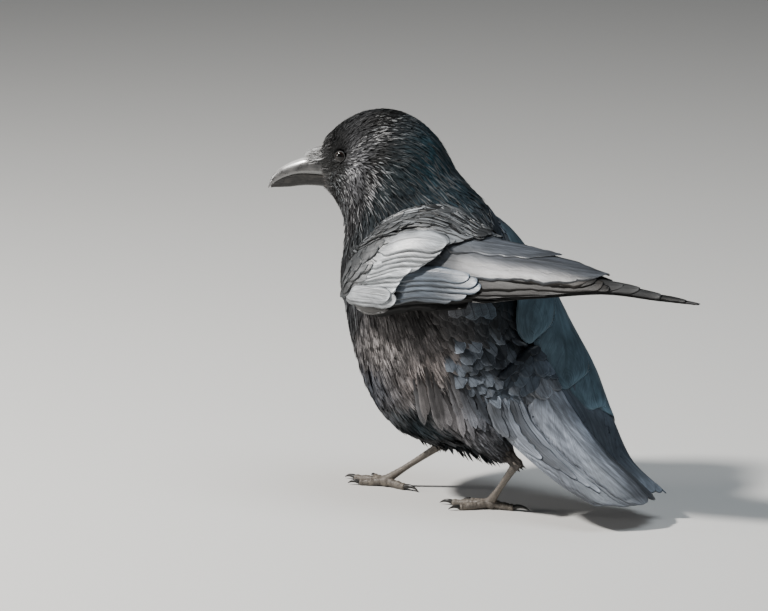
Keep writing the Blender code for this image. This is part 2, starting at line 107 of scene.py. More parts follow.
# Tail slices from the rump to the tip: ridge x, ridge z, edge x, edge z, half width, middle y
TAIL = np.array([
    (86, 132, 60, 100, 37, -1), (101, 105, 77, 72, 36, -1.5), (119, 79, 95, 57, 36.5, -2),
    (142, 52.5, 126, 38, 39, -2.5), (168, 32, 154, 24.5, 38.5, -3.2), (187, 17, 172, 16, 35, -3.6),
])

FEET = {
    "left": {"ball": (51.5, -14.0, 5.2), "ankle": (82.5, -30.0, 44.0), "knee": (24.0, -27.0, 96.0),
             "toe_out": -6.0},
    "right": {"ball": (-56.0, 11.0, 5.2), "ankle": (-9.0, 22.0, 39.0), "knee": (-26.0, 28.0, 100.0),
              "toe_out": 8.0},
}
SOLE_CUT = 0.35
# turn from straight ahead, length, root radius, tip radius, claw length
TOES = {
    "middle": (2.0, 30.0, 3.3, 2.5, 11.0),
    "inner": (-26.0, 20.0, 3.1, 2.4, 10.0),
    "outer": (33.0, 23.0, 3.1, 2.3, 9.5),
    "hind": (183.0, 18.0, 3.3, 2.6, 14.0),
}

# Plumage: station along the body, place from underside (-1) to back (1), then
# spacing, length, half width, lift of the tips, roll of the blades, colour, which in places is painted light
# or shade
PLUMAGE = {
    "forehead": (0.9, 0.9, 1.15, 6.5, 0.42, 0.5, 0.60, (0.004, 0.004, 0.004)),
    "crown": (3.4, 0.9, 1.55, 11.5, 0.60, 0.4, 0.70, (0.004, 0.004, 0.004)),
    "nape": (5.6, 0.9, 1.9, 16.0, 0.95, 0.3, 0.25, (0.013, 0.029, 0.037)),
    "hindneck": (7.1, 0.8, 2.7, 19.0, 1.7, 0.4, 0.25, (0.012, 0.020, 0.025)),
    "mantle": (8.6, 0.8, 4.0, 22.0, 4.2, 0.6, 0.22, (0.040, 0.044, 0.052)),
    # the back and the top of the rump: the plumage's black, made darker still as painted shade under the
    # lifted wing
    "back": (9.8, 0.85, 4.8, 22.0, 5.6, 0.8, 0.12, (0.008, 0.012, 0.016)),
    "rump_top": (11.0, 0.85, 5.2, 18.0, 6.4, 1.0, 0.10, (0.006, 0.008, 0.010)),
    "rump_middle": (11.0, 0.6, 5.2, 17.0, 6.4, 0.7, 0.10, (0.016, 0.024, 0.030)),
    "rump": (12.2, 0.85, 5.6, 16.0, 7.0, 0.8, 0.10, (0.045, 0.058, 0.076)),
    "rump_side": (12.0, 0.5, 5.6, 16.0, 6.8, 0.7, 0.12, (0.062, 0.072, 0.088)),
    # painted light: the rear flank, brownish like the plumage but painted pale where the light falls
    "flank_rear": (11.1, 0.15, 4.6, 22.0, 4.6, 1.0, 0.30, (0.070, 0.066, 0.066)),
    "tail_coverts": (14.6, 0.8, 5.0, 22.0, 6.5, 1.0, 0.12, (0.060, 0.064, 0.074)),
    "lores": (0.7, 0.1, 0.85, 4.5, 0.34, 0.3, 0.45, (0.016, 0.016, 0.016)),
    "eye_side": (1.9, 0.1, 1.0, 5.0, 0.42, 0.3, 0.45, (0.012, 0.012, 0.012)),
    # painted highlight: the cheek painted pale where the light falls on it
    "cheek": (3.05, 0.05, 1.5, 8.5, 0.72, 1.3, 0.80, (0.076, 0.076, 0.081)),
    "cheek_rear": (4.0, 0.15, 1.6, 10.0, 0.75, 0.2, 0.40, (0.008, 0.008, 0.008)),
    "ear_rear": (4.9, 0.1, 1.8, 12.5, 0.85, 0.5, 0.40, (0.012, 0.016, 0.018)),
    "chin": (0.8, -0.9, 1.15, 7.0, 0.42, 0.4, 0.45, (0.010, 0.010, 0.010)),
    "throat": (3.5, -0.8, 1.7, 14.0, 0.8, 1.2, 0.70, (0.020, 0.020, 0.021)),
    "foreneck": (6.0, -0.9, 2.4, 19.0, 1.3, 1.2, 0.55, (0.012, 0.012, 0.013)),
    "neck_side": (6.0, 0.0, 2.2, 16.0, 1.15, 0.6, 0.45, (0.013, 0.016, 0.019)),
    "breast": (8.2, -0.9, 3.7, 27.0, 3.6, 0.9, 0.45, (0.018, 0.019, 0.021)),
    "breast_side": (8.4, 0.0, 3.7, 25.0, 3.6, 0.7, 0.40, (0.030, 0.028, 0.028)),
    # painted shadow: the lifted wing's shadow on the top of the flank, painted dark
    "under_wing_shadow": (9.3, 0.1, 3.8, 25.0, 3.8, 0.7, 0.40, (0.016, 0.015, 0.015)),
    "belly_front": (10.2, -0.9, 4.0, 29.0, 4.0, 1.2, 0.45, (0.030, 0.034, 0.042)),
    # painted light: the front of the flank painted pale brown where the light falls
    "flank_front": (9.5, -0.35, 3.9, 27.0, 4.0, 0.9, 0.45, (0.150, 0.138, 0.135)),
    "belly_side": (11.7, -0.5, 4.1, 29.0, 4.0, 1.5, 0.45, (0.012, 0.021, 0.026)),
    # painted light: the flank's brightest lit patch, painted pale brown
    "flank": (10.7, 0.04, 4.0, 28.0, 4.0, 0.7, 0.40, (0.190, 0.165, 0.158)),
    "belly": (12.4, -0.9, 4.2, 31.0, 4.2, 2.2, 0.50, (0.006, 0.006, 0.007)),
    # painted light: the thigh painted pale like the lit flank
    "thigh": (12.0, -0.05, 4.2, 27.0, 4.2, 1.2, 0.35, (0.090, 0.084, 0.086)),
    "vent": (14.6, -0.7, 4.0, 34.0, 3.4, 1.0, 0.35, (0.030, 0.029, 0.030)),
}

# Painted highlights on feather tips over the head's black: station, height, paleness of the highlight, share
# of places that carry one
STREAKS = {
    "forehead": (0.7, 0.95, 0.012, 0.5), "cap": (2.2, 0.92, 0.034, 0.45),
    "cap_side": (2.0, 0.66, 0.005, 0.15), "cap_low": (2.5, 0.52, 0.004, 0.1),
    "cap_edge": (3.1, 0.76, 0.006, 0.15), "cap_rear": (3.7, 0.90, 0.020, 0.3),
    "crown": (3.4, 0.97, 0.020, 0.30), "crown_rear": (4.8, 0.85, 0.022, 0.3),
    "brow_low": (3.35, 0.46, 0.16, 0.6), "brow_high": (3.85, 0.64, 0.14, 0.55),
    "brow_end": (4.3, 0.78, 0.05, 0.4), "eye": (1.8, 0.3, 0.008, 0.2), "behind_eye": (2.5, 0.22, 0.02, 0.3),
    "ear": (2.95, 0.24, 0.30, 0.9), "ear_low": (3.1, 0.0, 0.30, 0.9), "gap": (3.65, 0.24, 0.003, 0.0),
    "gap_rear": (3.95, 0.26, 0.003, 0.0), "gap_middle": (3.55, 0.06, 0.003, 0.0),
    "gap_high": (4.2, 0.48, 0.008, 0.1), "gap_low": (3.45, -0.24, 0.003, 0.0),
    "gap_under": (3.7, -0.30, 0.003, 0.0), "ruff": (4.3, 0.04, 0.17, 0.85),
    "ruff_low": (4.1, -0.12, 0.15, 0.85), "ruff_high": (4.5, 0.2, 0.12, 0.6),
    "ruff_rear": (5.0, 0.05, 0.07, 0.5), "beard": (3.2, -0.50, 0.20, 0.75), "lores": (0.8, 0.1, 0.03, 0.4),
    "gape": (0.9, -0.35, 0.07, 0.7), "chin": (0.8, -0.9, 0.015, 0.3), "throat": (3.0, -0.65, 0.11, 0.5),
    "throat_rear": (4.4, -0.45, 0.14, 0.5), "foreneck": (5.6, -0.8, 0.05, 0.35),
    "neck_side": (5.8, -0.1, 0.035, 0.35), "neck": (5.6, 0.45, 0.024, 0.4), "nape": (6.0, 0.9, 0.045, 0.5),
    "neck_low": (7.4, -0.2, 0.05, 0.35), "neck_base": (7.4, 0.6, 0.035, 0.4),
}

# ---------------------------------------------------------------- curves and frames


def along(rows, t):
    """The smooth curve through evenly spaced rows, at each t counted in rows."""
    rows, t = np.asarray(rows, float), np.asarray(t, float)
    last = len(rows) - 1
    i = np.clip(np.floor(t), 0, last - 1).astype(int)
    f = (t - i).reshape(t.shape + (1,) * (rows.ndim - 1))
    a, b, c, d = rows[np.maximum(i - 1, 0)], rows[i], rows[i + 1], rows[np.minimum(i + 2, last)]
    return b + 0.5 * f * (c - a + f * (2 * a - 5 * b + 4 * c - d + f * (3 * (b - c) + d - a)))


def smooth_step(t):
    """0 before 0, 1 after 1, and a soft rise between."""
    t = np.clip(t, 0.0, 1.0)
    return t * t * (3 - 2 * t)


def unit(v):
    """Vectors brought to length 1."""
    return v / np.maximum(np.linalg.norm(v, axis=-1, keepdims=True), 1e-9)


def varied(count, amount):
    """One factor for each of count things, 1 on average."""
    return 1 + amount * rng.normal(0, 1, count)


def varied_tone(count, amount, least=-2, most=2):
    """One brightness for each of count feathers, kept within a few steps of 1."""
    return 1 + amount * rng.normal(0, 1, (count, 1)).clip(least, most)


def turned(points, angle=HEAD_TURN):
    """Points of the straight bird, turned to its left about the neck's upright axis."""
    points = np.array(points, float)
    x, y = points[..., 0] - PIVOT_X, points[..., 1].copy()
    points[..., 0] = PIVOT_X + x * np.cos(angle) - y * np.sin(angle)
    points[..., 1] = x * np.sin(angle) + y * np.cos(angle)
    return points


def spun(vectors, angle=HEAD_TURN):
    """Directions turned as the head is."""
    return turned(np.asarray(vectors, float) + (PIVOT_X, 0, 0), angle) - (PIVOT_X, 0, 0)


def station_turn(station):
    """How far each station is turned: the whole head, then less and less down the neck."""
    return HEAD_TURN * (1 - smooth_step((station - TURNED_UNTIL) / (STRAIGHT_FROM - TURNED_UNTIL)))


def spine():
    """The body's middle line: stations, centres, ways to the back and sideways, half depths, half widths."""
    at = np.linspace(0, len(STATIONS) - 1, 65)
    rows = along(STATIONS, at)
    back = np.stack([rows[:, 0], 0 * at, rows[:, 1]], 1)
    under = np.stack([rows[:, 2], 0 * at, rows[:, 3]], 1)
    angle = station_turn(at)
    centres = np.stack([turned(c, a) for c, a in zip((back + under) / 2, angle)])
    upward = np.stack([spun(u, a) for u, a in zip(unit(back - under), angle)])
    sideways = np.stack([spun((0, 1, 0), a) for a in angle])
    return at, centres, upward, sideways, np.linalg.norm(back - under, axis=1) / 2, rows[:, 4]


SPINE = spine()


def anatomy(points):
    """Where points lie on the bird: station along it, -1 (underside) to 1 (back), -1 (left) to 1 (right).

    The station is the one whose slice goes nearest to the point.
    """
    at, centres, upward, sideways, deep, wide = SPINE
    away = points[:, None] - centres[None]
    height = np.einsum("pkj,kj->pk", away, upward) / deep
    side = np.einsum("pkj,kj->pk", away, sideways) / wide
    lead = np.einsum("pkj,kj->pk", away, np.cross(sideways, upward)) / 14.0
    fit = np.abs(lead) + 0.6 * np.abs(np.hypot(height, side) - 1)
    best = np.argmin(fit, axis=1)
    rows = np.arange(len(points))
    return at[best], np.clip(height[rows, best], -1.2, 1.2), np.clip(side[rows, best], -1.2, 1.2)


# ---------------------------------------------------------------- how the plumage lies

# Places on the straight bird's side and the way that feathers lie there: x, y, z, then a direction
COMB = np.array([
    (-92, -6, 290, 0.35, -0.2, 0.9), (-86, -14, 281, 0.6, -0.2, 0.75), (-84, -15, 296, 0.7, 0.1, 0.7),
    (-72, -20, 298, 0.8, 0.0, 0.6), (-60, -24, 285, 0.97, 0.0, 0.25), (-60, -16, 308, 0.95, 0.05, 0.3),
    (-38, -10, 314, 1.0, 0.0, -0.1), (-36, -28, 290, 1.0, 0.0, -0.1), (-10, -20, 300, 0.8, 0.0, -0.6),
    (-78, -19, 266, 0.9, -0.1, -0.45), (-62, -25, 262, 0.75, 0.0, -0.65), (-86, -12, 246, 0.75, -0.1, -0.6),
    (-72, -20, 240, 0.45, 0.0, -0.9), (-45, -32, 262, 0.75, 0.0, -0.65), (-78, -8, 226, 0.15, 0.0, -1.0),
    (-20, -36, 265, 0.7, 0.0, -0.7), (-60, -32, 225, 0.3, 0.0, -0.95), (5, -25, 275, 0.6, 0.0, -0.8),
    (-76, -15, 200, 0.02, 0.0, -1.0), (-30, -44, 225, 0.5, 0.0, -0.85), (25, -30, 245, 0.65, -0.05, -0.75),
    (-76, -22, 160, 0.05, 0.0, -1.0), (-20, -54, 180, 0.4, 0.0, -0.9), (45, -30, 215, 0.5, 0.0, -0.85),
    (-60, -30, 110, 0.3, 0.0, -0.95), (0, -58, 130, 0.42, 0.0, -0.9), (68, -30, 165, 0.35, 0.0, -0.95),
    (-35, -25, 70, 0.55, 0.0, -0.85), (30, -50, 100, 0.55, 0.0, -0.82), (84, -20, 125, 0.6, 0.0, -0.8),
    (0, -22, 48, 0.8, 0.0, -0.6), (55, -38, 85, 0.72, 0.05, -0.68), (96, -12, 104, 0.8, 0.05, -0.6),
    (45, -20, 50, 0.9, 0.0, -0.1), (80, -22, 80, 0.85, 0.1, -0.5),
], float)


def comb_guides():
    """Places and directions for both sides, with the head's turned as the head is."""
    both = []
    for sign in (1, -1):
        places, ways = COMB[:, :3] * (1, sign, 1), unit(COMB[:, 3:] * (1, sign, 1))
        share = smooth_step((places[:, 2] - 175) / 75)
        for place, way, angle in zip(places, ways, share * HEAD_TURN):
            both.append(np.concatenate([turned(place, angle), spun(way, angle)]))
    for places in FEET.values():
        knee, ankle = np.array(places["knee"]), np.array(places["ankle"])
        down = ankle - knee
        both += [np.concatenate([knee + down * share, unit(down)]) for share in (0.7, 0.85, 1.0)]
    return np.array(both)


GUIDES = comb_guides()


def flow(points, normals):
    """The way that feathers lie at each point, along the surface."""
    gap = np.linalg.norm(points[:, None] - GUIDES[None, :, :3], axis=2)
    weight = 1 / (gap**3 + 30.0)
    way = weight @ GUIDES[:, 3:]
    way -= normals * np.sum(way * normals, axis=1, keepdims=True)
    return unit(way)


# ---------------------------------------------------------------- surfaces


class Surface:
    """A closed mesh in the bird's millimetres, to find near points and smooth normals on."""

    def __init__(self, points, faces):
        self.points, self.faces = points, faces
        corners = points[faces]
        self.cross = np.cross(corners[:, 1] - corners[:, 0], corners[:, 2] - corners[:, 0])
        normals = np.zeros_like(points)
        for k in range(3):
            np.add.at(normals, faces[:, k], self.cross)
        self.normals = unit(normals)
        self.tree = BVHTree.FromPolygons([Vector(p) for p in points], faces.tolist())

    def nearest(self, places):
        """The nearest places on the surface, and its smooth normals there."""
        flat = places.reshape(-1, 3)
        spots, index = np.empty_like(flat), np.empty(len(flat), int)
        find = self.tree.find_nearest
        for k, p in enumerate(flat):
            spot, _, index[k], _ = find(p)
            spots[k] = spot
        corners = self.points[self.faces[index]]
        gap = np.linalg.norm(corners - spots[:, None], axis=2)
        weight = 1 / (gap + 0.05)
        normals = unit(np.einsum("pk,pkj->pj", weight, self.normals[self.faces[index]]))
        return spots.reshape(places.shape), normals.reshape(places.shape)


def body_surface(nodes, voxel, rounds, outset=0.3):
    """The outline of the body as one smooth surface round the given CAD nodes, each grown by the outset."""
    joined = bpy.data.meshes.new("joined")
    work = bmesh.new()
    for node in nodes:
        start = len(work.verts)
        work.from_mesh(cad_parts[node].data)
        work.verts.ensure_lookup_table()
        work.normal_update()
        grown = [v.co + v.normal * outset * MM for v in work.verts[start:]]
        for vertex, place in zip(work.verts[start:], grown):
            vertex.co = place
    work.to_mesh(joined)
    work.free()
    shape = bpy.data.objects.new("joined", joined)
    bpy.context.scene.collection.objects.link(shape)
    remesh = shape.modifiers.new("remesh", "REMESH")
    remesh.mode, remesh.voxel_size = "VOXEL", voxel * MM
    smooth = shape.modifiers.new("smooth", "SMOOTH")
    smooth.iterations, smooth.factor = rounds, 0.5
    shape.modifiers.new("triangles", "TRIANGULATE")
    done = bpy.data.meshes.new_from_object(shape.evaluated_get(bpy.context.evaluated_depsgraph_get()))
    points, faces = mesh_arrays(done)
    bpy.data.objects.remove(shape)
    return Surface(points / MM - ORIGIN, faces)


def mesh_arrays(mesh):
    """A triangulated mesh's points and its triangles."""
    points = np.empty(len(mesh.vertices) * 3)
    mesh.vertices.foreach_get("co", points)
    faces = np.empty(len(mesh.loops), int)
    mesh.loops.foreach_get("vertex_index", faces)
    return points.reshape(-1, 3), faces.reshape(-1, 3)


def scatter(surface, spacing, keep, tries=9, closeness=0.86):
    """Points spread over a surface about spacing(points) apart, where keep(points) allows."""
    area = np.linalg.norm(surface.cross, axis=1) / 2
    corners = surface.points[surface.faces]
    middles = corners.mean(1)
    want = area * keep(middles) / spacing(middles) ** 2
    count = int(want.sum() * tries)
    pick = rng.choice(len(area), count, p=want / want.sum())
    a, b = rng.random(count), rng.random(count)
    flip = a + b > 1
    a[flip], b[flip] = 1 - a[flip], 1 - b[flip]
    c = corners[pick]
    spots = c[:, 0] + (c[:, 1] - c[:, 0]) * a[:, None] + (c[:, 2] - c[:, 0]) * b[:, None]
    gaps = spacing(spots) * closeness
    cell = float(gaps.max())
    grid, kept = {}, []
    cells = np.floor(spots / cell).astype(int)
    around = [(i, j, k) for i in (-1, 0, 1) for j in (-1, 0, 1) for k in (-1, 0, 1)]
    for n in range(count):
        x, y, z = cells[n]
        px, py, pz = spots[n]
        limit = gaps[n] ** 2
        free = True
        for i, j, k in around:
            for ox, oy, oz in grid.get((x + i, y + j, z + k), ()):
                if (ox - px) ** 2 + (oy - py) ** 2 + (oz - pz) ** 2 < limit:
                    free = False
                    break
            if not free:
                break
        if free:
            grid.setdefault((x, y, z), []).append((px, py, pz))
            kept.append(n)
    return spots[kept]


# ---------------------------------------------------------------- feathers on the body

STYLE_PLACES = np.array([row[:2] for row in PLUMAGE.values()])
STYLE_VALUES = np.array([(*row[2:7], *row[7]) for row in PLUMAGE.values()])


def style(points):
    """Spacing, length, half width, lift, roll and colour of the feathers at each point."""
    station, height, _ = anatomy(points)
    place = np.stack([station, height], 1)
    gap = np.linalg.norm((place[:, None] - STYLE_PLACES[None]) * (1.0, 1.5), axis=2)
    weight = 1 / (gap**3 + 0.02)
    return (weight @ STYLE_VALUES) / weight.sum(1, keepdims=True)


def coat_spacing(points):
    """How far apart the coat's feathers stand at each point."""
    return style(points)[:, 0]


def grow(surface, roots, way, lengths, stations):
    """Middle lines that follow the surface from each root. Gives points, normals and tangents."""
    spots, normals = surface.nearest(roots)
    line, up = [spots], [normals]
    swing = way(spots, normals)
    step = (lengths / (stations - 1))[:, None]
    for _ in range(stations - 1):
        spots, normals = surface.nearest(spots + swing * step)
        line.append(spots)
        up.append(normals)
        fresh = way(spots, normals)
        swing = unit(fresh - normals * np.sum(fresh * normals, axis=1, keepdims=True))
    line, up = np.stack(line, 1), np.stack(up, 1)
    return line, up, unit(np.gradient(line, axis=1))


def heading_way(heading):
    """A lie of the plumage that follows one heading, or one for each feather, along the surface."""

    def way(points, normals):
        return unit(heading - normals * np.sum(heading * normals, axis=1, keepdims=True))

    return way


def swept(way, angles):
    """A lie of the plumage with each feather turned by its own angle."""

    def turned_way(points, normals):
        main = way(points, normals)
        side = np.cross(normals, main)
        return main * np.cos(angles)[:, None] + side * np.sin(angles)[:, None]

    return turned_way


def quads_of(index):
    """The four corners of each square of one or more grids of point numbers."""
    near, far = index[:, :-1], index[:, 1:]
    return np.stack([near[..., :-1], near[..., 1:], far[..., 1:], far[..., :-1]], -1).reshape(-1, 4)


def vane_places(count, u, s):
    """The same coordinates on each of count feathers: u across from 0 to 1, s along."""
    return np.broadcast_to(np.stack(np.meshgrid(u, s), -1), (count, len(s), len(u), 2))


def sheet_grid(line, side, up, width, height):
    """Curved sheets: width to the sides of each middle line, and height over it."""
    return line[:, :, None] + side[:, :, None] * width[..., None] + up[:, :, None] * height[..., None]


def coat_piece(name, grid, roots, colour, material, vane=None):
    """Many small feathers: grid is (feathers, along, across, 3), with a root and a colour for each."""
    count, rows, columns = grid.shape[:3]
    if vane is None:
        vane = vane_places(count, np.linspace(0, 1, columns), np.linspace(0, 1, rows))
    bake = unwrap(roots)[:, None, None] + (vane - 0.5) * PATCH
    colour = np.broadcast_to(colour[:, None, None], grid.shape)
    parts = math.ceil(count / (MOST_TRIANGLES // ((rows - 1) * (columns - 1) * 2)))
    share = math.ceil(count / parts)
    for part in range(parts):
        cut = slice(part * share, (part + 1) * share)
        index = np.arange(grid[cut].size // 3).reshape(-1, rows, columns)
        title = name if parts == 1 else f"{name}_{part + 1}"
        mesh_piece(title, grid[cut].reshape(-1, 3), quads_of(index), material, "body_feather",
                   vane[cut].reshape(-1, 2), bake[cut].reshape(-1, 2), colour[cut].reshape(-1, 3))


def set_paint(mesh, title, colour):
    """A colour for each point, under the title that a material reads."""
    layer = mesh.color_attributes.new(title, "FLOAT_COLOR", "POINT")
    rgba = np.concatenate([colour, np.ones((len(colour), 1))], 1)
    layer.data.foreach_set("color", rgba.astype(np.float32).ravel())


def add_piece(name, mesh, material, slot, *replaced):
    """A mesh as a piece of the model, in the place of the CAD nodes that it replaces."""
    mesh.shade_smooth()
    mesh.materials.append(material)
    piece = bpy.data.objects.new(name, mesh)
    bpy.context.scene.collection.objects.link(piece)
    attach(piece, "root")
    if replaced:
        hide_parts(*replaced)


def mesh_piece(name, points, faces, material, slot, vane, bake, colour, *replaced):
    """One piece from arrays of points and of faces with as many corners each."""
    mesh = bpy.data.meshes.new(name)
    corners = faces.shape[1]
    mesh.vertices.add(len(points))
    mesh.vertices.foreach_set("co", ((points + ORIGIN) * MM).astype(np.float32).ravel())
    mesh.loops.add(faces.size)
    mesh.loops.foreach_set("vertex_index", faces.astype(np.int32).ravel())
    mesh.polygons.add(len(faces))
    mesh.polygons.foreach_set("loop_start", np.arange(0, faces.size, corners, dtype=np.int32))
    mesh.update(calc_edges=True)
    for title, places in (("OFBake", bake), ("vane", vane)):
        if places is not None:
            layer = mesh.uv_layers.new(name=title)
            layer.data.foreach_set("uv", places[faces.ravel()].astype(np.float32).ravel())
    set_paint(mesh, "plumage", colour)
    add_piece(name, mesh, material, slot, *replaced)


def unwrap(points):
    """Where a point lies on the skin laid flat: round the body one way, along it the other."""
    station, height, side = anatomy(points)
    length = len(STATIONS) - 1
    return np.stack([0.5 + 0.47 * np.arctan2(side, height) / math.pi, 0.03 + 0.94 * station / length], 1)


def taper(s, start, full, end):
    """A feather's outline: narrow at its root, full at full, rounded off at its tip."""
    rise = start + (1 - start) * smooth_step(s / full)
    return rise * (1 - np.clip((s - full) / (1.0 - full), 0, 1) ** end) ** 0.6


def body_feathers(surface, name, roots, stations, across, camber, end, depth, material, tone=0.25,
                  looks=None):
    """Small cambered vanes that rise from a depth under the coat's surface and lie along it."""
    count = len(roots)
    looks = style(roots) if looks is None else looks
    vary = rng.normal(0, 1, (count, 5))
    length = looks[:, 1] * (1 + 0.16 * vary[:, 0])
    half = looks[:, 2] * (1 + 0.15 * vary[:, 1])
    line, up, run = grow(surface, roots, swept(flow, 0.13 * vary[:, 2]), length, stations)
    side = np.cross(up, run)
    s = np.linspace(0, 1, stations)
    lift = looks[:, 3] * (0.6 + 0.5 * np.abs(vary[:, 3]))
    rise = -depth * (1 - s)[None] ** 1.6 + lift[:, None] * s[None] ** 1.5
    a = np.linspace(-1, 1, across)
    width = half[:, None, None] * taper(s, 0.35, 0.55, end)[None, :, None] * a
    roll = looks[:, 4] * vary[:, 4]
    height = rise[:, :, None] - camber * width * a + 0.6 * roll[:, None, None] * width
    colour = looks[:, 5:8] * varied_tone(count, tone)
    coat_piece(name, sheet_grid(line, side, up, width, height), roots, colour, material)


def head_streaks(surface, material):
    """Narrow feather tips painted pale as highlights, in ruffled clumps over the head and neck."""
    rows = np.array(list(STREAKS.values()))
    places, values = rows[:, :2], rows[:, 2:]

    def wanted(points):
        station, height, _ = anatomy(points)
        gap = np.linalg.norm((np.stack([station, height], 1)[:, None] - places[None]) * (1.0, 2.2), axis=2)
        weight = 1 / (gap**6 + 0.0003)
        return (weight @ values) / weight.sum(1, keepdims=True)

    def keep(points):
        station, _, _ = anatomy(points)
        return clear_of_face(points) * (station < 8.2)

    roots = scatter(surface, lambda points: 0.72 * coat_spacing(points), keep)
    painted_highlight, share = wanted(roots).T
    x, y, z = roots.T
    clump = np.sin(x / 1.7 + 1.1 * np.sin(z / 2.9)) * np.sin(z / 2.3 + y / 3.1)
    kept = rng.random(len(roots)) < share * (0.62 + 0.38 * clump)
    roots, painted_highlight, clump = roots[kept], painted_highlight[kept], clump[kept]
    looks = style(roots)
    looks[:, 1] *= 0.68 + 0.35 * smooth_step((anatomy(roots)[0] - 4.2) / 1.2)
    looks[:, 2] *= 0.28
    looks[:, 3] = 0.9 + 1.0 * looks[:, 3] * (painted_highlight > 0.18)
    looks[:, 4] = 0.5
    tint = np.where(painted_highlight[:, None] > 0.12, (1.0, 1.0, 1.02), (0.92, 1.0, 1.05))
    # the painted highlight, brighter where the clumps stand out
    looks[:, 5:8] = (painted_highlight * (1 + 0.6 * clump))[:, None] * tint
    body_feathers(surface, "head_streak_feathers", roots, 6, 3, 0.4, 1.2, 0.8, material, 0.35, looks)


def loose_feathers(surface, name, roots, stations, blades, depth, material):
    """Soft feathers that rise from under the coat's surface: each a fan of narrow blades with free tips."""
    count = len(roots)
    looks = style(roots)
    vary = rng.normal(0, 1, (count, 4))
    length = looks[:, 1] * (1 + 0.14 * vary[:, 0])
    line, up, run = grow(surface, roots, swept(flow, 0.10 * vary[:, 1]), length, stations)
    side = np.cross(up, run)
    s = np.linspace(0, 1, stations)
    place = np.linspace(-1, 1, blades)
    jitter = rng.normal(0, 1, (count, blades, 3))
    reach = 1 - 0.22 * place[None] ** 2 + 0.07 * jitter[..., 0]
    half = looks[:, 2] * (1 + 0.12 * vary[:, 2])
    spread = smooth_step(s / 0.6) * 0.75 + 0.25 * s
    centre = (place[None] + 0.18 * jitter[..., 1]) * half[:, None]
    lift = looks[:, 3] * (0.5 + 0.5 * np.abs(vary[:, 3]))
    # blades that are shorter stop earlier along the same middle line
    t = s[None, None] * reach[..., None]
    node = t * (stations - 1)
    i = np.clip(np.floor(node), 0, stations - 2).astype(int)
    f = (node - i)[..., None]
    rows = np.arange(count)[:, None, None]

    def read(values):
        return values[rows, i] * (1 - f) + values[rows, i + 1] * f

    mid, top, across = read(line), read(up), read(side)
    rise = -depth * (1 - t) ** 1.6 + lift[:, None, None] * t**1.5 + 0.25 * jitter[..., 2:] * t
    droop = -0.16 * place[None, :, None] ** 2 * half[:, None, None] * spread
    mid = mid + across * (centre[..., None] * spread)[..., None] + top * (rise + droop)[..., None]
    blade = half[:, None] * 1.55 / blades
    thin = taper(s, 0.5, 0.35, 1.7)
    roll = looks[:, 4][:, None] * rng.normal(0, 1, (count, blades))
    edges = []
    for sign in (-1, 1):
        out = sign * blade[..., None] * thin
        edges.append(mid + across * out[..., None] + top * (out * roll[..., None])[..., None])
    grid = np.stack(edges, 3).reshape(count * blades, stations, 2, 3)
    u = (place[None, :, None, None] + np.array((-1, 1))[None, None, None] / blades) * 0.5 + 0.5
    u = np.broadcast_to(u, (count, blades, stations, 2))
    v = np.broadcast_to(t[..., None], (count, blades, stations, 2))
    vane = np.stack([u, v], -1).reshape(count * blades, stations, 2, 2)
    shade = (1 + 0.3 * vary[:, 3:].clip(-2, 2)) * varied((count, blades), 0.12)
    colour = looks[:, None, 5:8] * np.maximum(shade, 0.3)[..., None]
    coat_piece(name, grid, np.repeat(roots, blades, 0), colour.reshape(-1, 3), material, vane)


# ---------------------------------------------------------------- wings and tail

# A tone of 1 is this black, and a tint leans it towards a colour
BLACK = 0.014
BLUE, BROWN, TEAL = (0.78, 0.98, 1.25), (1.12, 1.0, 0.92), (0.64, 1.0, 1.26)
SLATE, COOL = (0.86, 0.96, 1.14), (0.95, 1.0, 1.05)
VANE_THICKNESS = 0.22
ROOT_DIP = 1.6  # how far a feather's root lies under the row ahead of it
CUP = 0.0625  # how much a vane's edges turn down, as a share of its half width
CALM = 0.18  # rows ruffled more than this have tilted feathers as well


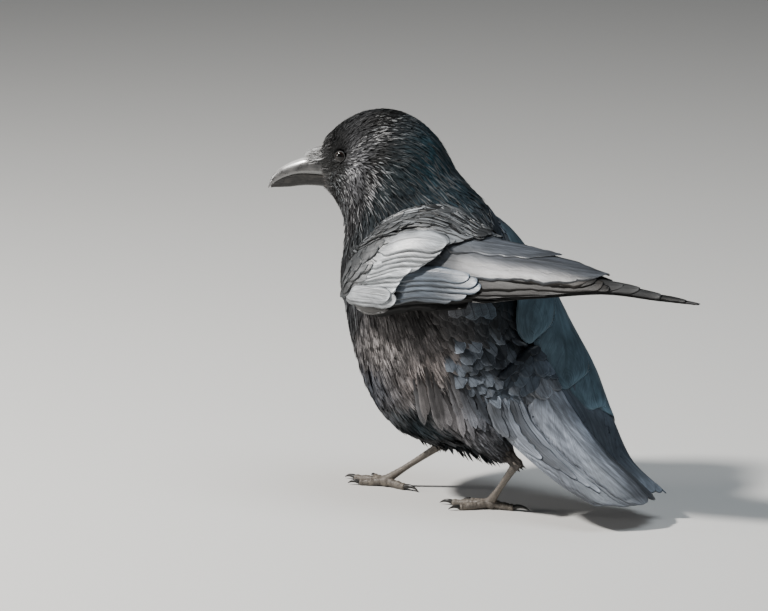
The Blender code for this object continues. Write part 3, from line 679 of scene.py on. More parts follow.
class Plan:
    """A curved wing or tail laid flat: x runs along it and y across it, both in millimetres."""

    def __init__(self, surface, last, half, turn, body, upper_press=0.0):
        self.surface, self.half, self.turn, self.body = surface, half, turn, body
        self.upper_press = upper_press  # how much the feathers are pressed down past the upper edge
        self.t = np.linspace(0, last, 240)
        middle = surface(self.t, np.full(240, 0.5))
        self.x = np.concatenate([[0], np.cumsum(np.linalg.norm(np.diff(middle, axis=0), axis=1))])
        self.pace = self.x[1] / self.t[1]  # millimetres for each rib, ahead of the first one

    def flat(self, rib, share):
        """The flat place that is so many ribs along and such a share across."""
        x = np.interp(rib, self.t, self.x) + np.minimum(rib, 0) * self.pace
        return np.stack([x, (share - 0.5) * 2 * self.half(rib)], -1)

    def wrap(self, flat, height, low=-0.4, high=1.03):
        """Flat places put on the curved surface, at a height over it, and kept clear of the body."""
        rib = np.interp(flat[..., 0], self.x, self.t) + np.minimum(flat[..., 0], 0) / self.pace
        share = np.clip(flat[..., 1] / (2 * self.half(rib)) + 0.5, low, high)
        spot = self.surface(rib, share)
        d = 0.02
        along_it = self.surface(rib + d, share) - self.surface(rib - d, share)
        across_it = self.surface(rib, share + d) - self.surface(rib, share - d)
        height = height * (1 - self.upper_press * (1 - smooth_step((share + 0.15) / 0.4)))
        spot = spot + unit(np.cross(along_it, across_it)) * (height * self.turn)[..., None]
        return above(self.body, spot, 0.9 + 0.18 * np.clip(height, 0, 12))

    def lay(self, count, root, tip, half, height, tone, point, bend=0.0, tilt=0.0, shaft=0.42, ragged=0.02,
            rows=26, columns=9, tint=(1.0, 1.0, 1.0), jitter=0.4, ripple=0.0, low=-0.4, high=1.03,
            mottle=0.10, ruffle=CALM, fade=0.0):
        """A row of big feathers, each from a root to a tip: so many ribs along, such a share across.

        Root, tip, half, height and tone are lists of values, spread smoothly from the first feather to the
        last. The rest holds for the row: point is the length of the rounded tip in half widths, bend curves
        the feather, tilt lifts one edge, shaft is where the shaft runs, ragged makes the edges uneven, jitter
        scatters the feathers, ripple waves them, low and high limit the share across, mottle varies the
        tones, ruffle varies the heights, and fade darkens the tips.
        """
        share = np.linspace(0, 1, count)

        def between(values):
            values = np.atleast_1d(np.asarray(values, float))
            if len(values) == 1:
                return np.repeat(values, count, 0)
            return along(values, share * (len(values) - 1))

        start, end = between(root), between(tip)
        start, end = self.flat(start[:, 0], start[:, 1]), self.flat(end[:, 0], end[:, 1])
        shift = rng.normal(0, jitter, (count, 2, 2))
        start, end = start + shift[:, 0], end + shift[:, 0] * 0.6 + shift[:, 1]
        s = 1 - (1 - np.linspace(0, 1, rows)) ** 1.4
        line = start[:, None] + (end - start)[:, None] * s[:, None]
        way = unit(end - start)
        normal = np.stack([-way[:, 1], way[:, 0]], 1)
        length = np.linalg.norm(end - start, axis=1)
        sag = bend * length[:, None] * 4 * s * (1 - s)
        line = line + normal[:, None] * sag[..., None]
        u = np.linspace(0, 1, columns)
        a = (u - shaft) / np.where(u < shaft, shaft, 1 - shaft)
        lead = np.where(a < 0, 2 * shaft, 2 * (1 - shaft))
        broad = between(half)
        widths = broad[:, None] * vane_outline(s, length, broad, point)
        wave = rng.normal(0, 1, (count, rows, 2))
        wave = wave + np.roll(wave, 1, 1) + np.roll(wave, -1, 1)
        rag = 1 + ragged * np.where(a < 0, wave[..., :1], wave[..., 1:]) * a**2
        offset = widths[..., None] * a * lead * rag
        flat = line[:, :, None] + normal[:, None, None] * offset[..., None]
        level = between(height)[:, None, None] - ROOT_DIP * (1 - smooth_step(s / 0.35))[:, None]
        level = level + tilt * a - CUP * a**2 * widths[..., None]
        level = level + ruffle * rng.normal(0, 1, (count, 1, 1)) * s[:, None]
        level = level + max(ruffle - CALM, 0.0) * rng.normal(0, 1, (count, 1, 1)) * a
        # low waves that cross the vane on a slant
        x, y = flat[..., 0], flat[..., 1]
        phase = x / 1.6 + np.abs(offset) / 3.5 + 1.3 * np.sin(x / 5.0 + y / 4.0)
        level = level + ripple * np.sin(phase) * np.sin(x / 11.0 + 1.0) * np.abs(a)
        grid = self.wrap(flat, level, low, high)
        shade = BLACK * between(tone)[:, None] * varied_tone(count, mottle, -1.5, 1.5)
        fall = 1 - fade * smooth_step((s - 0.5) / 0.5)
        paint = (shade * tint)[:, None, None] * fall[:, None, None]
        return {"grid": grid, "vane": vane_places(count, u, s), "paint": np.broadcast_to(paint, grid.shape)}

    def base(self, ribs, shares, height, tone):
        """The plain down and skin under a wing's feathers, as one sheet."""
        rows, columns = 60, 24
        rib, share = np.meshgrid(np.linspace(*ribs, rows), np.linspace(*shares, columns), indexing="ij")
        grid = self.wrap(self.flat(rib, share), np.full(rib.shape, height), *shares)[None]
        vane = vane_places(1, np.linspace(0, 1, columns), np.linspace(0, 1, rows))
        return {"grid": grid, "vane": vane, "paint": np.full(grid.shape, 0.03 * tone)}


def above(body, points, clearance):
    """Points moved out of the body, to at least their clearance over it."""
    near, normals = body.nearest(points)
    depth = np.sum((points - near) * normals, axis=-1)
    short = np.maximum(clearance - depth, 0.0)
    return points + normals * short[..., None]


def wing_plan(side, body):
    """The surface that a wing's feathers lie on, between its two edges."""
    wing = WINGS[side]
    ribs, bulges, roll = wing["ribs"], np.array(wing["bulge"])[:, None], wing["roll"]
    last = len(ribs) - 1.0

    def surface(rib, share):
        rib = np.clip(rib, -0.9, len(ribs) - 0.9)
        pair = along(ribs, rib)
        inner, outer = pair[..., 0, :], pair[..., 1, :]
        run = along(ribs, np.clip(rib + 0.3, 0.3, last)) - along(ribs, np.clip(rib - 0.3, 0.0, last - 0.6))
        chord = outer - inner
        out = unit(np.cross(run[..., 0, :] + run[..., 1, :], chord)) * SIDES[side]
        bulge = along(bulges, np.clip(rib, 0, last))[..., 0]
        bulge = bulge * np.sin(math.pi * np.clip(share, 0, 1) ** wing["ridge"])
        spot = inner + chord * np.maximum(share, 0)[..., None] + out * bulge[..., None]
        # past the upper edge the feathers roll over towards the back or the tail
        beyond = np.maximum(-share, 0) * 2 * half(rib)
        return spot - unit(unit(chord) * roll[0] + out * roll[1]) * beyond[..., None]

    def half(rib):
        pair = along(ribs, np.clip(rib, 0, last))
        return np.maximum(np.linalg.norm(pair[..., 1, :] - pair[..., 0, :], axis=-1) / 2, wing["least_half"])

    return Plan(surface, last, half, SIDES[side], body, 0.65)


def tail_plan(body):
    """The surface that the tail's feathers lie on, arched over its ridge."""

    def surface(u, share):
        u = np.clip(u, -0.9, len(TAIL) - 0.5)
        row, side = along(TAIL, u), 2 * share - 1
        fall = np.abs(side) ** 1.7
        x = row[..., 0] + (row[..., 2] - row[..., 0]) * fall
        z = row[..., 1] + (row[..., 3] - row[..., 1]) * fall
        return np.stack([x, row[..., 5] + side * row[..., 4], z], -1)

    def half(u):
        return along(TAIL, np.clip(u, 0, len(TAIL) - 1))[..., 4]

    return Plan(surface, len(TAIL) - 1.0, half, 1.0, body)


def vane_outline(s, length, half, point):
    """Half width along big feathers, 0 to 1: an ellipse at the tip, point times as long as the half width."""
    tip = np.clip(point * half / length, 0.05, 0.8)[:, None]
    rise = 0.12 + 0.88 * smooth_step(s / 0.25)
    return rise * np.sqrt(np.clip(1 - np.clip((s - 1 + tip) / tip, 0, 1) ** 2, 0, 1))


def vane_piece(name, groups, material, *replaced):
    """Rows of big feathers as one piece, each vane closed, with an island of its own in the bake map."""
    side = math.ceil(math.sqrt(sum(len(group["grid"]) for group in groups)))
    points, faces, vanes, bakes, paints = [], [], [], [], []
    start, number = 0, 0
    for group in groups:
        grid = group["grid"]
        count, rows, columns = grid.shape[:3]
        size = rows * columns
        top = start + np.arange(count * size).reshape(count, rows, columns)
        inner = np.zeros((rows, columns), bool)
        inner[1:-1, 1:-1] = True
        under = top.copy()
        under[:, inner] = start + count * size + np.arange(count * inner.sum()).reshape(count, -1)
        faces += [quads_of(top), quads_of(under)[:, ::-1]]
        normal = unit(np.cross(np.gradient(grid, axis=2), np.gradient(grid, axis=1)))
        lower = (grid - normal * VANE_THICKNESS)[:, inner]
        cell = number + np.arange(count)
        corner = np.stack([cell % side, cell // side], 1) / side
        bake = corner[:, None, None] + (0.05 + 0.9 * group["vane"]) / side
        for values, target in ((group["vane"], vanes), (bake, bakes), (group["paint"], paints)):
            target.append(values.reshape(-1, values.shape[-1]))
            target.append(values[:, inner].reshape(-1, values.shape[-1]))
        points += [grid.reshape(-1, 3), lower.reshape(-1, 3)]
        start += count * (size + int(inner.sum()))
        number += count
    points, faces, vanes, bakes, paints = map(np.concatenate, (points, faces, vanes, bakes, paints))
    mesh_piece(name, points, faces, material, "flight_feather", vanes, bakes, paints, *replaced)


def lifted_wing(body, glossy, dark, ruffled):
    """The left wing, held level: its coverts fan out over the shoulder, its flight feathers reach behind."""
    plan = wing_plan("left", body)
    flight = [
        plan.base((-0.1, 6.0), (-0.05, 0.97), -0.9, 0.3),
        # the primaries, then the secondaries
        plan.lay(9, [(3.0, 0.95), (3.2, 0.80), (3.3, 0.62)], [(8.0, 0.55), (7.95, 0.5), (6.3, 0.5)],
                 [4.4, 5.5, 7.5], [0.3, 2.6], [0.6, 1.2, 1.1], 5.0, 0.01, 0.2, shaft=0.3, low=-0.03,
                 mottle=0.4),
        plan.lay(8, [(2.7, 0.84), (2.7, 0.5)], [(6.15, 0.86), (5.7, 0.45)], [5.5, 8.5], [3.0, 4.2],
                 [0.3, 0.55, 1.1], 2.2, 0.015, 0.25, shaft=0.34, ragged=0.04, tint=BROWN, low=-0.03,
                 mottle=0.5),
    ]
    tertials = plan.lay(4, [(1.8, 0.54), (1.9, 0.40), (2.0, 0.28), (2.0, 0.22)],
                        [(5.75, 0.31), (5.95, 0.15), (4.95, 0.05), (3.3, 0.06)], [11.5, 12.0, 11.5, 8.5],
                        [4.6, 5.2, 5.8, 6.4], [3.0, 2.9, 3.6, 4.0], 2.4, 0.02, 0.10, shaft=0.45,
                        ragged=0.045, rows=44, columns=13, low=-0.05, tint=SLATE, mottle=0.04, fade=0.3)
    coverts = [
        # over the primaries' roots
        plan.lay(5, [(1.5, 0.93), (1.55, 0.72)], [(3.0, 0.93), (3.6, 0.84), (3.3, 0.70)], [4.4, 5.8],
                 [3.4, 5.0], [4.4, 6.4], 1.5, -0.025, 0.6, rows=24, tint=BLUE, low=0.0, mottle=0.2),
        plan.lay(1, [(0.35, 1.0)], [(1.6, 1.0)], [6.0], [4.4], [1.5], 2.0, 0.0, 0.3, rows=18, tint=BROWN),
        # the greater coverts, painted bright as the sheen where the light falls on them, and two more along
        # the front edge, painted pale too
        plan.lay(10, [(0.0, 0.80), (0.05, 0.68), (0.55, 0.52), (1.1, 0.38)],
                 [(1.75, 0.83), (1.92, 0.70), (2.35, 0.56), (2.55, 0.42)], [4.8, 5.6, 8.0, 9.0], [6.4, 9.0],
                 [32.0, 36.0, 15.0], 1.35, -0.03, 1.1, rows=22, ragged=0.01, tint=COOL),
        plan.lay(2, [(0.05, 0.94), (0.08, 0.86)], [(1.85, 0.93), (1.70, 0.86)], [5.6], [8.6, 9.4],
                 [18.0, 17.0], 1.8, -0.02, 0.9, rows=22, tint=COOL),
        # the shoulder's broad feathers, which end on the tertials
        plan.lay(7, [(1.3, 0.36), (1.7, 0.18), (2.1, 0.02)], [(2.55, 0.38), (3.0, 0.22), (3.5, 0.0)],
                 [7.0, 6.5, 5.0], [8.2, 7.0, 4.6], [5.5, 6.0, 4.0], 1.8, -0.02, 0.5, rows=22, ragged=0.04,
                 low=-0.05, tint=COOL, mottle=0.2, ruffle=0.3),
        plan.lay(13, [(-0.1, 0.76), (0.2, 0.5), (0.9, 0.22)], [(0.85, 0.78), (1.15, 0.54), (1.95, 0.32)],
                 [4.2, 4.8, 5.2], [7.6, 8.4, 7.2], [5.0, 6.0, 5.0], 1.3, -0.02, 0.6, rows=16, columns=7,
                 jitter=1.2, tint=COOL, mottle=0.3, ruffle=0.5, ragged=0.04),
    ]
    vane_piece("wing_left_flight_feathers", flight, dark, "wing_left_primaries")
    vane_piece("wing_left_tertial_feathers", [tertials], glossy, "wing_left_tertials")
    vane_piece("wing_left_covert_feathers", coverts, glossy, "wing_left_coverts")
    small_coverts(plan, "left", ruffled, 3.3, -0.10, 7.6, COOL)
    underwing(plan, "left", dark)


def folded_wing(body, material):
    """The right wing, folded along the side, with its tip on the tail's edge."""
    plan = wing_plan("right", body)
    flight = [
        plan.base((-0.1, 6.5), (0.04, 0.97), -0.9, 0.1),
        # the primaries, the secondaries and the tertials
        plan.lay(10, [(2.6, 0.86), (3.3, 0.10)], [(8.0, 0.5), (7.9, -0.15), (7.2, -0.75)], [6.0, 8.5, 10.5],
                 [0.0, 1.2], [3.2, 4.4], 3.0, 0.01, 0.3, shaft=0.4, tint=BLUE, low=-1.3, rows=34),
        plan.lay(6, [(2.2, 0.76), (2.3, 0.34)], [(5.9, 0.62), (6.1, 0.12)], [10.0, 12.0], [1.3, 2.0],
                 [3.8, 4.4], 2.0, 0.015, 0.4, shaft=0.4, ragged=0.03, tint=TEAL, low=-0.3),
        plan.lay(4, [(2.2, 0.42), (2.0, 0.26), (1.9, 0.12), (1.7, 0.0)],
                 [(6.1, 0.20), (6.0, 0.04), (5.3, -0.02), (4.2, -0.04)], [16.0, 16.0, 15.0, 13.0],
                 [1.9, 2.3, 2.6, 2.9], [4.6, 4.8], 1.8, 0.02, 0.3, shaft=0.45, rows=34, tint=TEAL,
                 low=-0.3),
    ]
    coverts = [
        plan.lay(5, [(1.5, 0.98), (1.7, 0.80)], [(3.9, 0.90), (3.5, 0.76)], [5.2, 6.2], [1.8, 2.4],
                 [2.6, 2.8], 1.5, -0.01, 0.5, rows=20, tint=BLUE),
        plan.lay(3, [(0.5, 0.98), (0.6, 0.86)], [(2.3, 0.94), (2.1, 0.84)], [6.0, 6.5], [2.4, 3.0],
                 [2.8, 3.0], 1.8, -0.02, 0.5, rows=20, tint=BLUE),
        plan.lay(10, [(0.9, 0.84), (1.5, 0.26)], [(2.35, 0.80), (3.1, 0.30)], [7.5, 10.0], [2.6, 3.4],
                 [2.8, 3.0], 1.35, -0.02, 0.7, rows=20, ragged=0.015, tint=BLUE),
        plan.lay(9, [(0.4, 0.84), (1.1, 0.18)], [(1.5, 0.78), (2.4, 0.24)], [6.5, 8.0], [3.4, 3.8],
                 [2.8, 3.0], 1.3, -0.02, 0.5, rows=16, columns=7, jitter=0.8, tint=BLUE),
    ]
    vane_piece("wing_right_flight_feathers", flight, material, "wing_right_tertials", "wing_right_primaries")
    vane_piece("wing_right_covert_feathers", coverts, material, "wing_right_coverts")
    small_coverts(plan, "right", material, 2.4, -0.12, 2.6, BLUE)
    underwing(plan, "right", material)


def small_coverts(plan, side, material, tone, upper, height, tint):
    """The small rounded feathers over the wing's front, and the loose ones over its upper edge."""
    front, shoulder = [], []
    stack = 1.0 if side == "left" else 0.42  # how high the shoulder stands, as a share of the height
    for row, start in enumerate((0.50, 0.34, 0.18, 0.02, -0.14, -0.28)):
        level = height + 1.2 + 0.16 * row
        front.append(plan.lay(12,
                              [(max(start - 0.65, -0.35), 0.95), (start - 0.3, 0.5), (start + 0.45, 0.0)],
                              [(max(start - 0.2, -0.05), 0.93), (start + 0.42, 0.53), (start + 1.3, 0.10)],
                              [4.0, 5.6, 6.0], [level, level, 0.7 * level], [tone * 0.9, tone, tone * 0.8],
                              1.2, 0.0, 0.6, rows=14, columns=9, ragged=0.03, jitter=1.3, low=upper,
                              tint=tint, mottle=0.3, ruffle=0.35))
    for row in range(10):
        start, level = 2.4 - 0.3 * row, height * stack + 0.12 * row
        common = {"low": upper - 0.1, "tint": tint}
        # broad dark feathers, then thin pale blades that lie over them
        shoulder.append(plan.lay(11, [(start, upper), (start + 0.1, 0.16)],
                                 [(start + 0.8, upper + 0.06), (start + 0.85, 0.21)], [3.4], [level],
                                 [tone * 0.6, tone * 0.9], 1.5, 0.0, 0.3, rows=12, columns=7, ragged=0.10,
                                 jitter=1.5, mottle=0.5, ruffle=0.45, **common))
        shoulder.append(plan.lay(20, [(start, upper), (start + 0.1, 0.18)],
                                 [(start + 0.55, upper + 0.07), (start + 0.6, 0.24)], [0.6],
                                 [level + 0.3 + 0.3 * stack], [tone * 2.2, tone * 1.8], 4.0, rows=9,
                                 columns=3, ragged=0.0, jitter=1.8, mottle=0.9, ruffle=0.4, **common))
    vane_piece(f"wing_{side}_lesser_coverts", front, material)
    vane_piece(f"wing_{side}_shoulder_feathers", shoulder, material)


def underwing(plan, side, material):
    """Rounded feathers in rows under the wing."""
    rows = []
    for start in (2.1, 1.5, 0.9, 0.3):
        end = start + 1.2
        rows.append(plan.lay(9, [(start, 0.96), (start, 0.1)], [(end, 0.94), (end, 0.1)], [6.5], [-2.6],
                             [0.3], 1.3, 0.0, 0.3, rows=12, columns=5, ragged=0.03, low=0.0))
    vane_piece(f"wing_{side}_underwing", rows, material)


def tail_feathers(body, glossy, dark):
    """Twelve tail feathers, the middle pair on top, and the coverts that run from the rump onto them."""
    plan = tail_plan(body)
    outward = (0.28, 0.46, 0.62, 0.75, 0.86, 0.94)
    tail = []
    for pair in range(5, -1, -1):
        for sign in (1, -1):
            out, right = sign * outward[pair], sign > 0
            half, ripple = (14.5, 0.20) if pair == 0 else (12.0, 0.10)
            # painted sheen: the tones are bright where the light falls on the tail, the right feathers are
            # painted darker as shade, and fade paints the tips darker as shade
            height, tone = 3.6 - 0.7 * pair - 0.35 * right, 13.5 - 0.5 * pair - 7.5 * right
            tail.append(plan.lay(1, [(0.2, 0.5 + 0.38 * out)], [(5.0 - 0.75 * out**2, 0.5 + 0.46 * out)],
                                 [half], [height], [tone], 1.3, 0.010 * sign, -0.35 * sign,
                                 shaft=0.5 - 0.14 * sign * pair / 5, rows=70, columns=13, ragged=0.012,
                                 ripple=ripple, tint=SLATE, low=-0.02, fade=0.72))
    vane_piece("tail_feathers", tail, glossy, "tail")
    covers = [
        # long narrow feathers along the near edge, painted paler as sheen, and their fellows on the far one
        plan.lay(8, [(-0.3, 0.17), (0.0, 0.0)], [(3.9, 0.115), (2.6, 0.05), (1.2, -0.01)], [2.2, 2.6],
                 [2.8, 2.0], [11.0, 8.0, 5.0], 9.0, -0.008, 0.6, rows=40, ragged=0.05, tint=SLATE,
                 low=-0.06, mottle=0.35),
        plan.lay(4, [(-0.3, 0.84), (0.0, 1.0)], [(3.0, 0.9), (1.9, 1.01)], [3.2, 2.8], [3.5, 2.2], [3.0],
                 6.0, 0.01, 0.6, rows=40, ragged=0.05, tint=SLATE, low=-0.06, high=1.05),
        # broad ones over the roots of the tail
        plan.lay(9, [(-0.4, 0.14), (-0.4, 0.5), (-0.4, 0.86)], [(0.95, 0.15), (1.2, 0.5), (0.95, 0.85)],
                 [8.0], [1.6, 4.2, 1.6], [6.0, 6.0, 3.0], 1.8, 0.0, 0.2, rows=30, columns=11, ragged=0.04,
                 jitter=2.0, ripple=0.1, tint=SLATE, low=-0.02, mottle=0.25)]
    vane_piece("tail_covert_feathers", covers, glossy)
    # the rump's scale-like feathers, in rows that end further back along the ridge
    scales = []
    for row in range(6):
        start, level = 0.32 - 0.16 * row, 1.6 + 0.3 * row
        scales.append(plan.lay(11, [(start - 0.2, 0.06), (start + 0.15, 0.5), (start - 0.2, 0.94)],
                               [(start + 0.3, 0.04), (start + 0.6, 0.5), (start + 0.3, 0.96)], [5.8],
                               [level, level + 3.4, level], [5.0 * 0.75**row], 1.15, 0.0, 0.6, rows=14,
                               columns=7, ragged=0.03, jitter=1.4, tint=BLUE, low=-0.02, mottle=0.3,
                               ruffle=0.3))
    # two rows under the tail
    for row, (start, end) in enumerate(((1.2, 3.0), (0.6, 2.3))):
        scales.append(plan.lay(8, [(start, 0.2), (start, 0.8)], [(end, 0.16), (end, 0.84)], [8.0],
                               [-5.0 - row], [0.7], 1.5, 0.0, 0.2, rows=14, columns=7, ragged=0.05,
                               low=0.0))
    vane_piece("rump_scale_feathers", scales, dark)


# ---------------------------------------------------------------- bill, eyes, legs


def loft_mesh(name, rings):
    """A closed solid through rings of as many points each."""
    rings = np.asarray(rings, float)
    count, around = rings.shape[:2]
    points = np.concatenate([rings.reshape(-1, 3), rings[0].mean(0)[None], rings[-1].mean(0)[None]])
    index = np.arange(count * around).reshape(count, around)
    ahead = np.roll(index, -1, 1)
    quads = np.stack([index[:-1], ahead[:-1], ahead[1:], index[1:]], -1).reshape(-1, 4)
    first, last = np.full(around, index.size), np.full(around, index.size + 1)
    caps = [np.stack([ahead[0], index[0], first], 1), np.stack([index[-1], ahead[-1], last], 1)]
    mesh = bpy.data.meshes.new(name)
    faces = quads.tolist() + np.concatenate(caps).tolist()
    mesh.from_pydata(((points + ORIGIN) * MM).tolist(), [], faces)
    work = bmesh.new()
    work.from_mesh(mesh)
    bmesh.ops.recalc_face_normals(work, faces=work.faces)
    work.to_mesh(mesh)
    work.free()
    return mesh


def mandible(name, last, column, spread, arch, material, replaced):
    """Half of the bill, flat along the mouth line and arched out to the given column of the bill's slices."""
    over, under = 33, 9  # points of a ring round the arch and across the flat side
    angles = np.concatenate([np.linspace(0, math.pi, over), np.linspace(math.pi, 0, under)[1:-1]])
    cos, sin = np.cos(angles), np.where(np.arange(len(angles)) < over, np.sin(angles), 0.0)
    sides = np.sign(cos) * np.abs(cos) ** 0.9
    rings = []
    for t in np.linspace(0.15, last, 56):
        x, flat, arched, half = along(BILL, t)[[0, MOUTH_LINE, column, 4]]
        gap = math.copysign(0.05, arched - flat)
        height = flat + gap + (arched - flat - gap) * sin**arch
        rings.append(turned(np.stack([np.full(len(angles), x), spread * half * sides, height], 1)))
    add_piece(name, loft_mesh(name, rings), material, "horn", replaced)


def tube_rings(path, radii, around, scute=0.0, ridge_way=(0.0, 0.0, 1.0), flat_floor=False):
    """Rings round a path. scute is the length of one scale on the side that ridge_way faces."""
    path = np.asarray(path, float)
    run = unit(np.gradient(path, axis=0))
    front = unit(ridge_way - run * np.sum(run * ridge_way, axis=1, keepdims=True))
    side = np.cross(run, front)
    travelled = np.concatenate([[0], np.cumsum(np.linalg.norm(np.diff(path, axis=0), axis=1))])
    angles = np.linspace(0, 2 * math.pi, around, endpoint=False)
    radius = np.repeat(np.asarray(radii)[:, None], around, 1)
    if scute:
        facing = np.clip(np.cos(angles), 0, 1) ** 0.7
        step = travelled[:, None] / scute
        small = np.sin(step / 0.45 * 2 * math.pi)
        radius = radius * (1 + 0.12 * ((step % 1.0) ** 1.5 - 0.4) * facing + 0.035 * small * (1 - facing))
    out = front[:, None] * np.cos(angles)[:, None] + side[:, None] * np.sin(angles)[:, None]
    rings = path[:, None] + out * radius[..., None]
    if flat_floor:
        rings[..., 2] = np.maximum(rings[..., 2], 0.0)
    return rings


def make_leg(side, scutes, horn):
    """The tarsus, the foot with its toes, and the claws."""
    places, sign = FEET[side], SIDES[side]
    ball, ankle = np.array(places["ball"]), np.array(places["ankle"])
    s = np.linspace(0, 1, 150)
    radii = 2.75 + 1.3 * s**5 + 1.2 * (1 - s) ** 4 - 0.5 * np.exp(-((s - 0.35) / 0.25) ** 2)
    path = ball + np.outer(s, (ankle - ball) * 1.06)
    name = f"tarsus_{side}_scales"
    tarsus = loft_mesh(name, tube_rings(path, radii, 28, 4.2, (-1.0, 0.1 * sign, 0.3)))
    add_piece(name, tarsus, scutes, "leg_scute", f"tarsus_{side}")
    foot_parts = [pad_rings(ball)]
    for toe, (turn, length, root, tip, claw_length) in TOES.items():
        yaw = math.radians(places["toe_out"] + sign * turn)
        heading = np.array((-math.cos(yaw), math.sin(yaw), 0.0))
        path, rings = toe_rings(ball, heading, length, root, tip)
        foot_parts.append(rings)
        name = f"claw_{side}_{toe}"
        rings = claw_rings(path[-1] - heading * 0.6, heading, claw_length, tip * 0.84)
        add_piece(f"{name}_horn", loft_mesh(f"{name}_horn", rings), horn, "horn", name)
    foot = joined_mesh(f"foot_{side}_scales", foot_parts)
    add_piece(f"foot_{side}_scales", foot, scutes, "leg_scute", f"foot_{side}")


def toe_rings(ball, heading, length, root, tip):
    """A toe's middle line, which runs low over the floor, and the rings round it, thicker at each knuckle."""
    s = np.linspace(0, 1, 64)
    knuckle = 0.5 * np.abs(np.sin(s * math.pi * 2.5))
    path = ball + heading + np.outer(s * (length + 1.0), heading)
    path[:, 2] = root - SOLE_CUT + 1.6 * (1 - s) ** 2 + knuckle * 0.6 - (root - tip) * s
    radii = root + (tip - root) * s + knuckle * 0.7
    radii = radii * np.sqrt(1 - np.clip((s - 0.93) / 0.08, 0, 1) ** 2 * 0.75)
    return path, tube_rings(path, radii, 22, 2.9, flat_floor=True)


def claw_rings(start, heading, length, root):
    """A claw that rises a little from the toe and curves down to its tip on the floor."""
    count, tip = 26, 0.18
    r = np.linspace(0, 1, count)
    bend = math.radians(24.0) - 1.1 * r
    steps = np.stack([np.cos(bend), np.sin(bend)], 1) * (length + 0.9) / (count - 1)
    reach = np.concatenate([[(0.0, 0.0)], np.cumsum(steps[:-1], axis=0)])
    path = start + np.outer(reach[:, 0], heading) + np.outer(reach[:, 1], (0, 0, 1.0))
    radii = tip + (root - tip) * (1 - r) ** 0.75
    path[:, 2] = np.maximum(path[:, 2], radii)
    return tube_rings(path, radii, 18)


def pad_rings(ball):
    """The ball of the foot, as rings from heel to front."""
    t = np.linspace(-0.98, 0.98, 22)
    path = (ball - (0, 0, 0.8)) + np.outer(t * 6.2, (1.0, 0, 0))
    return tube_rings(path, 4.9 * np.sqrt(1 - t**2), 24, flat_floor=True)


def joined_mesh(name, parts):
    """One mesh from several closed solids, each given by its rings."""
    work = bmesh.new()
    for rings in parts:
        work.from_mesh(loft_mesh(f"{name}_part", rings))
    mesh = bpy.data.meshes.new(name)
    work.to_mesh(mesh)
    work.free()
    return mesh


def eye_axis(side):
    """The way an eye looks: out to its side, a little ahead and up."""
    return spun(unit(np.array((-0.22, SIDES[side], 0.06))))


def eye_centre(side):
    """The middle of an eye's own CAD node."""
    low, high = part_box(f"eye_{side}")
    return (np.array(low) + np.array(high)) / 2 / MM - ORIGIN


def make_eye(side, ball_material, lid_material):
    """An eyeball with its pupil and iris, and the lids round its opening."""
    centre, axis = eye_centre(side), eye_axis(side)
    up = unit(np.cross(np.cross(axis, (0, 0, 1.0)), axis))
    right = np.cross(up, axis)
    polar = np.linspace(0.02, math.pi - 0.02, 40)
    around = np.linspace(0, 2 * math.pi, 48, endpoint=False)
    rings = []
    for p in polar:
        ring = np.cos(around)[:, None] * right + np.sin(around)[:, None] * up
        rings.append(centre + EYE_RADIUS * (math.cos(p) * axis + math.sin(p) * ring))
    ball = loft_mesh(f"eye_{side}_ball", rings)
    turn = np.concatenate([np.repeat(polar, len(around)), [0.0, math.pi]])
    iris = smooth_step((turn - PUPIL_EDGE) / 0.08) * (1 - smooth_step((turn - IRIS_EDGE) / 0.08))
    set_paint(ball, "iris", 0.002 + iris[:, None] * (0.005, 0.002, 0.001))
    add_piece(f"eye_{side}_ball", ball, ball_material, "eye", f"eye_{side}")
    # lids: a soft rim round the opening, thicker below
    tube = np.linspace(0, 2 * math.pi, 14, endpoint=False)
    lid = []
    for a in np.linspace(0, 2 * math.pi, 64, endpoint=False):
        out = math.cos(a) * right + math.sin(a) * up
        squash = 1 - 0.10 * abs(math.sin(a))
        thick = 0.42 + 0.14 * max(0.0, -math.sin(a))
        middle = centre + axis * LID_DISTANCE + out * LID_RADIUS * squash
        lid.append([middle + thick * (math.cos(b) * out + 1.15 * math.sin(b) * axis) for b in tube])
    lid.append(lid[0])
    add_piece(f"eyelid_{side}", loft_mesh(f"eyelid_{side}", lid), lid_material, "leg_scute")


def bristle_bed(hood, material):
    """The down under the bristles: the tuft's outline drawn in, and its front end drawn back."""
    straight = turned(hood.points - hood.normals * 0.7, -HEAD_TURN)
    past = np.minimum(straight[:, 0] + 101.0, 0.0)
    straight[:, 0] -= 0.85 * past
    straight[:, 2] += 0.25 * past
    mesh_piece("nasal_bristle_bed", turned(straight), hood.faces, material, "body_feather", None,
               unwrap(hood.points), np.full(hood.points.shape, 0.006), "nasal_bristles")


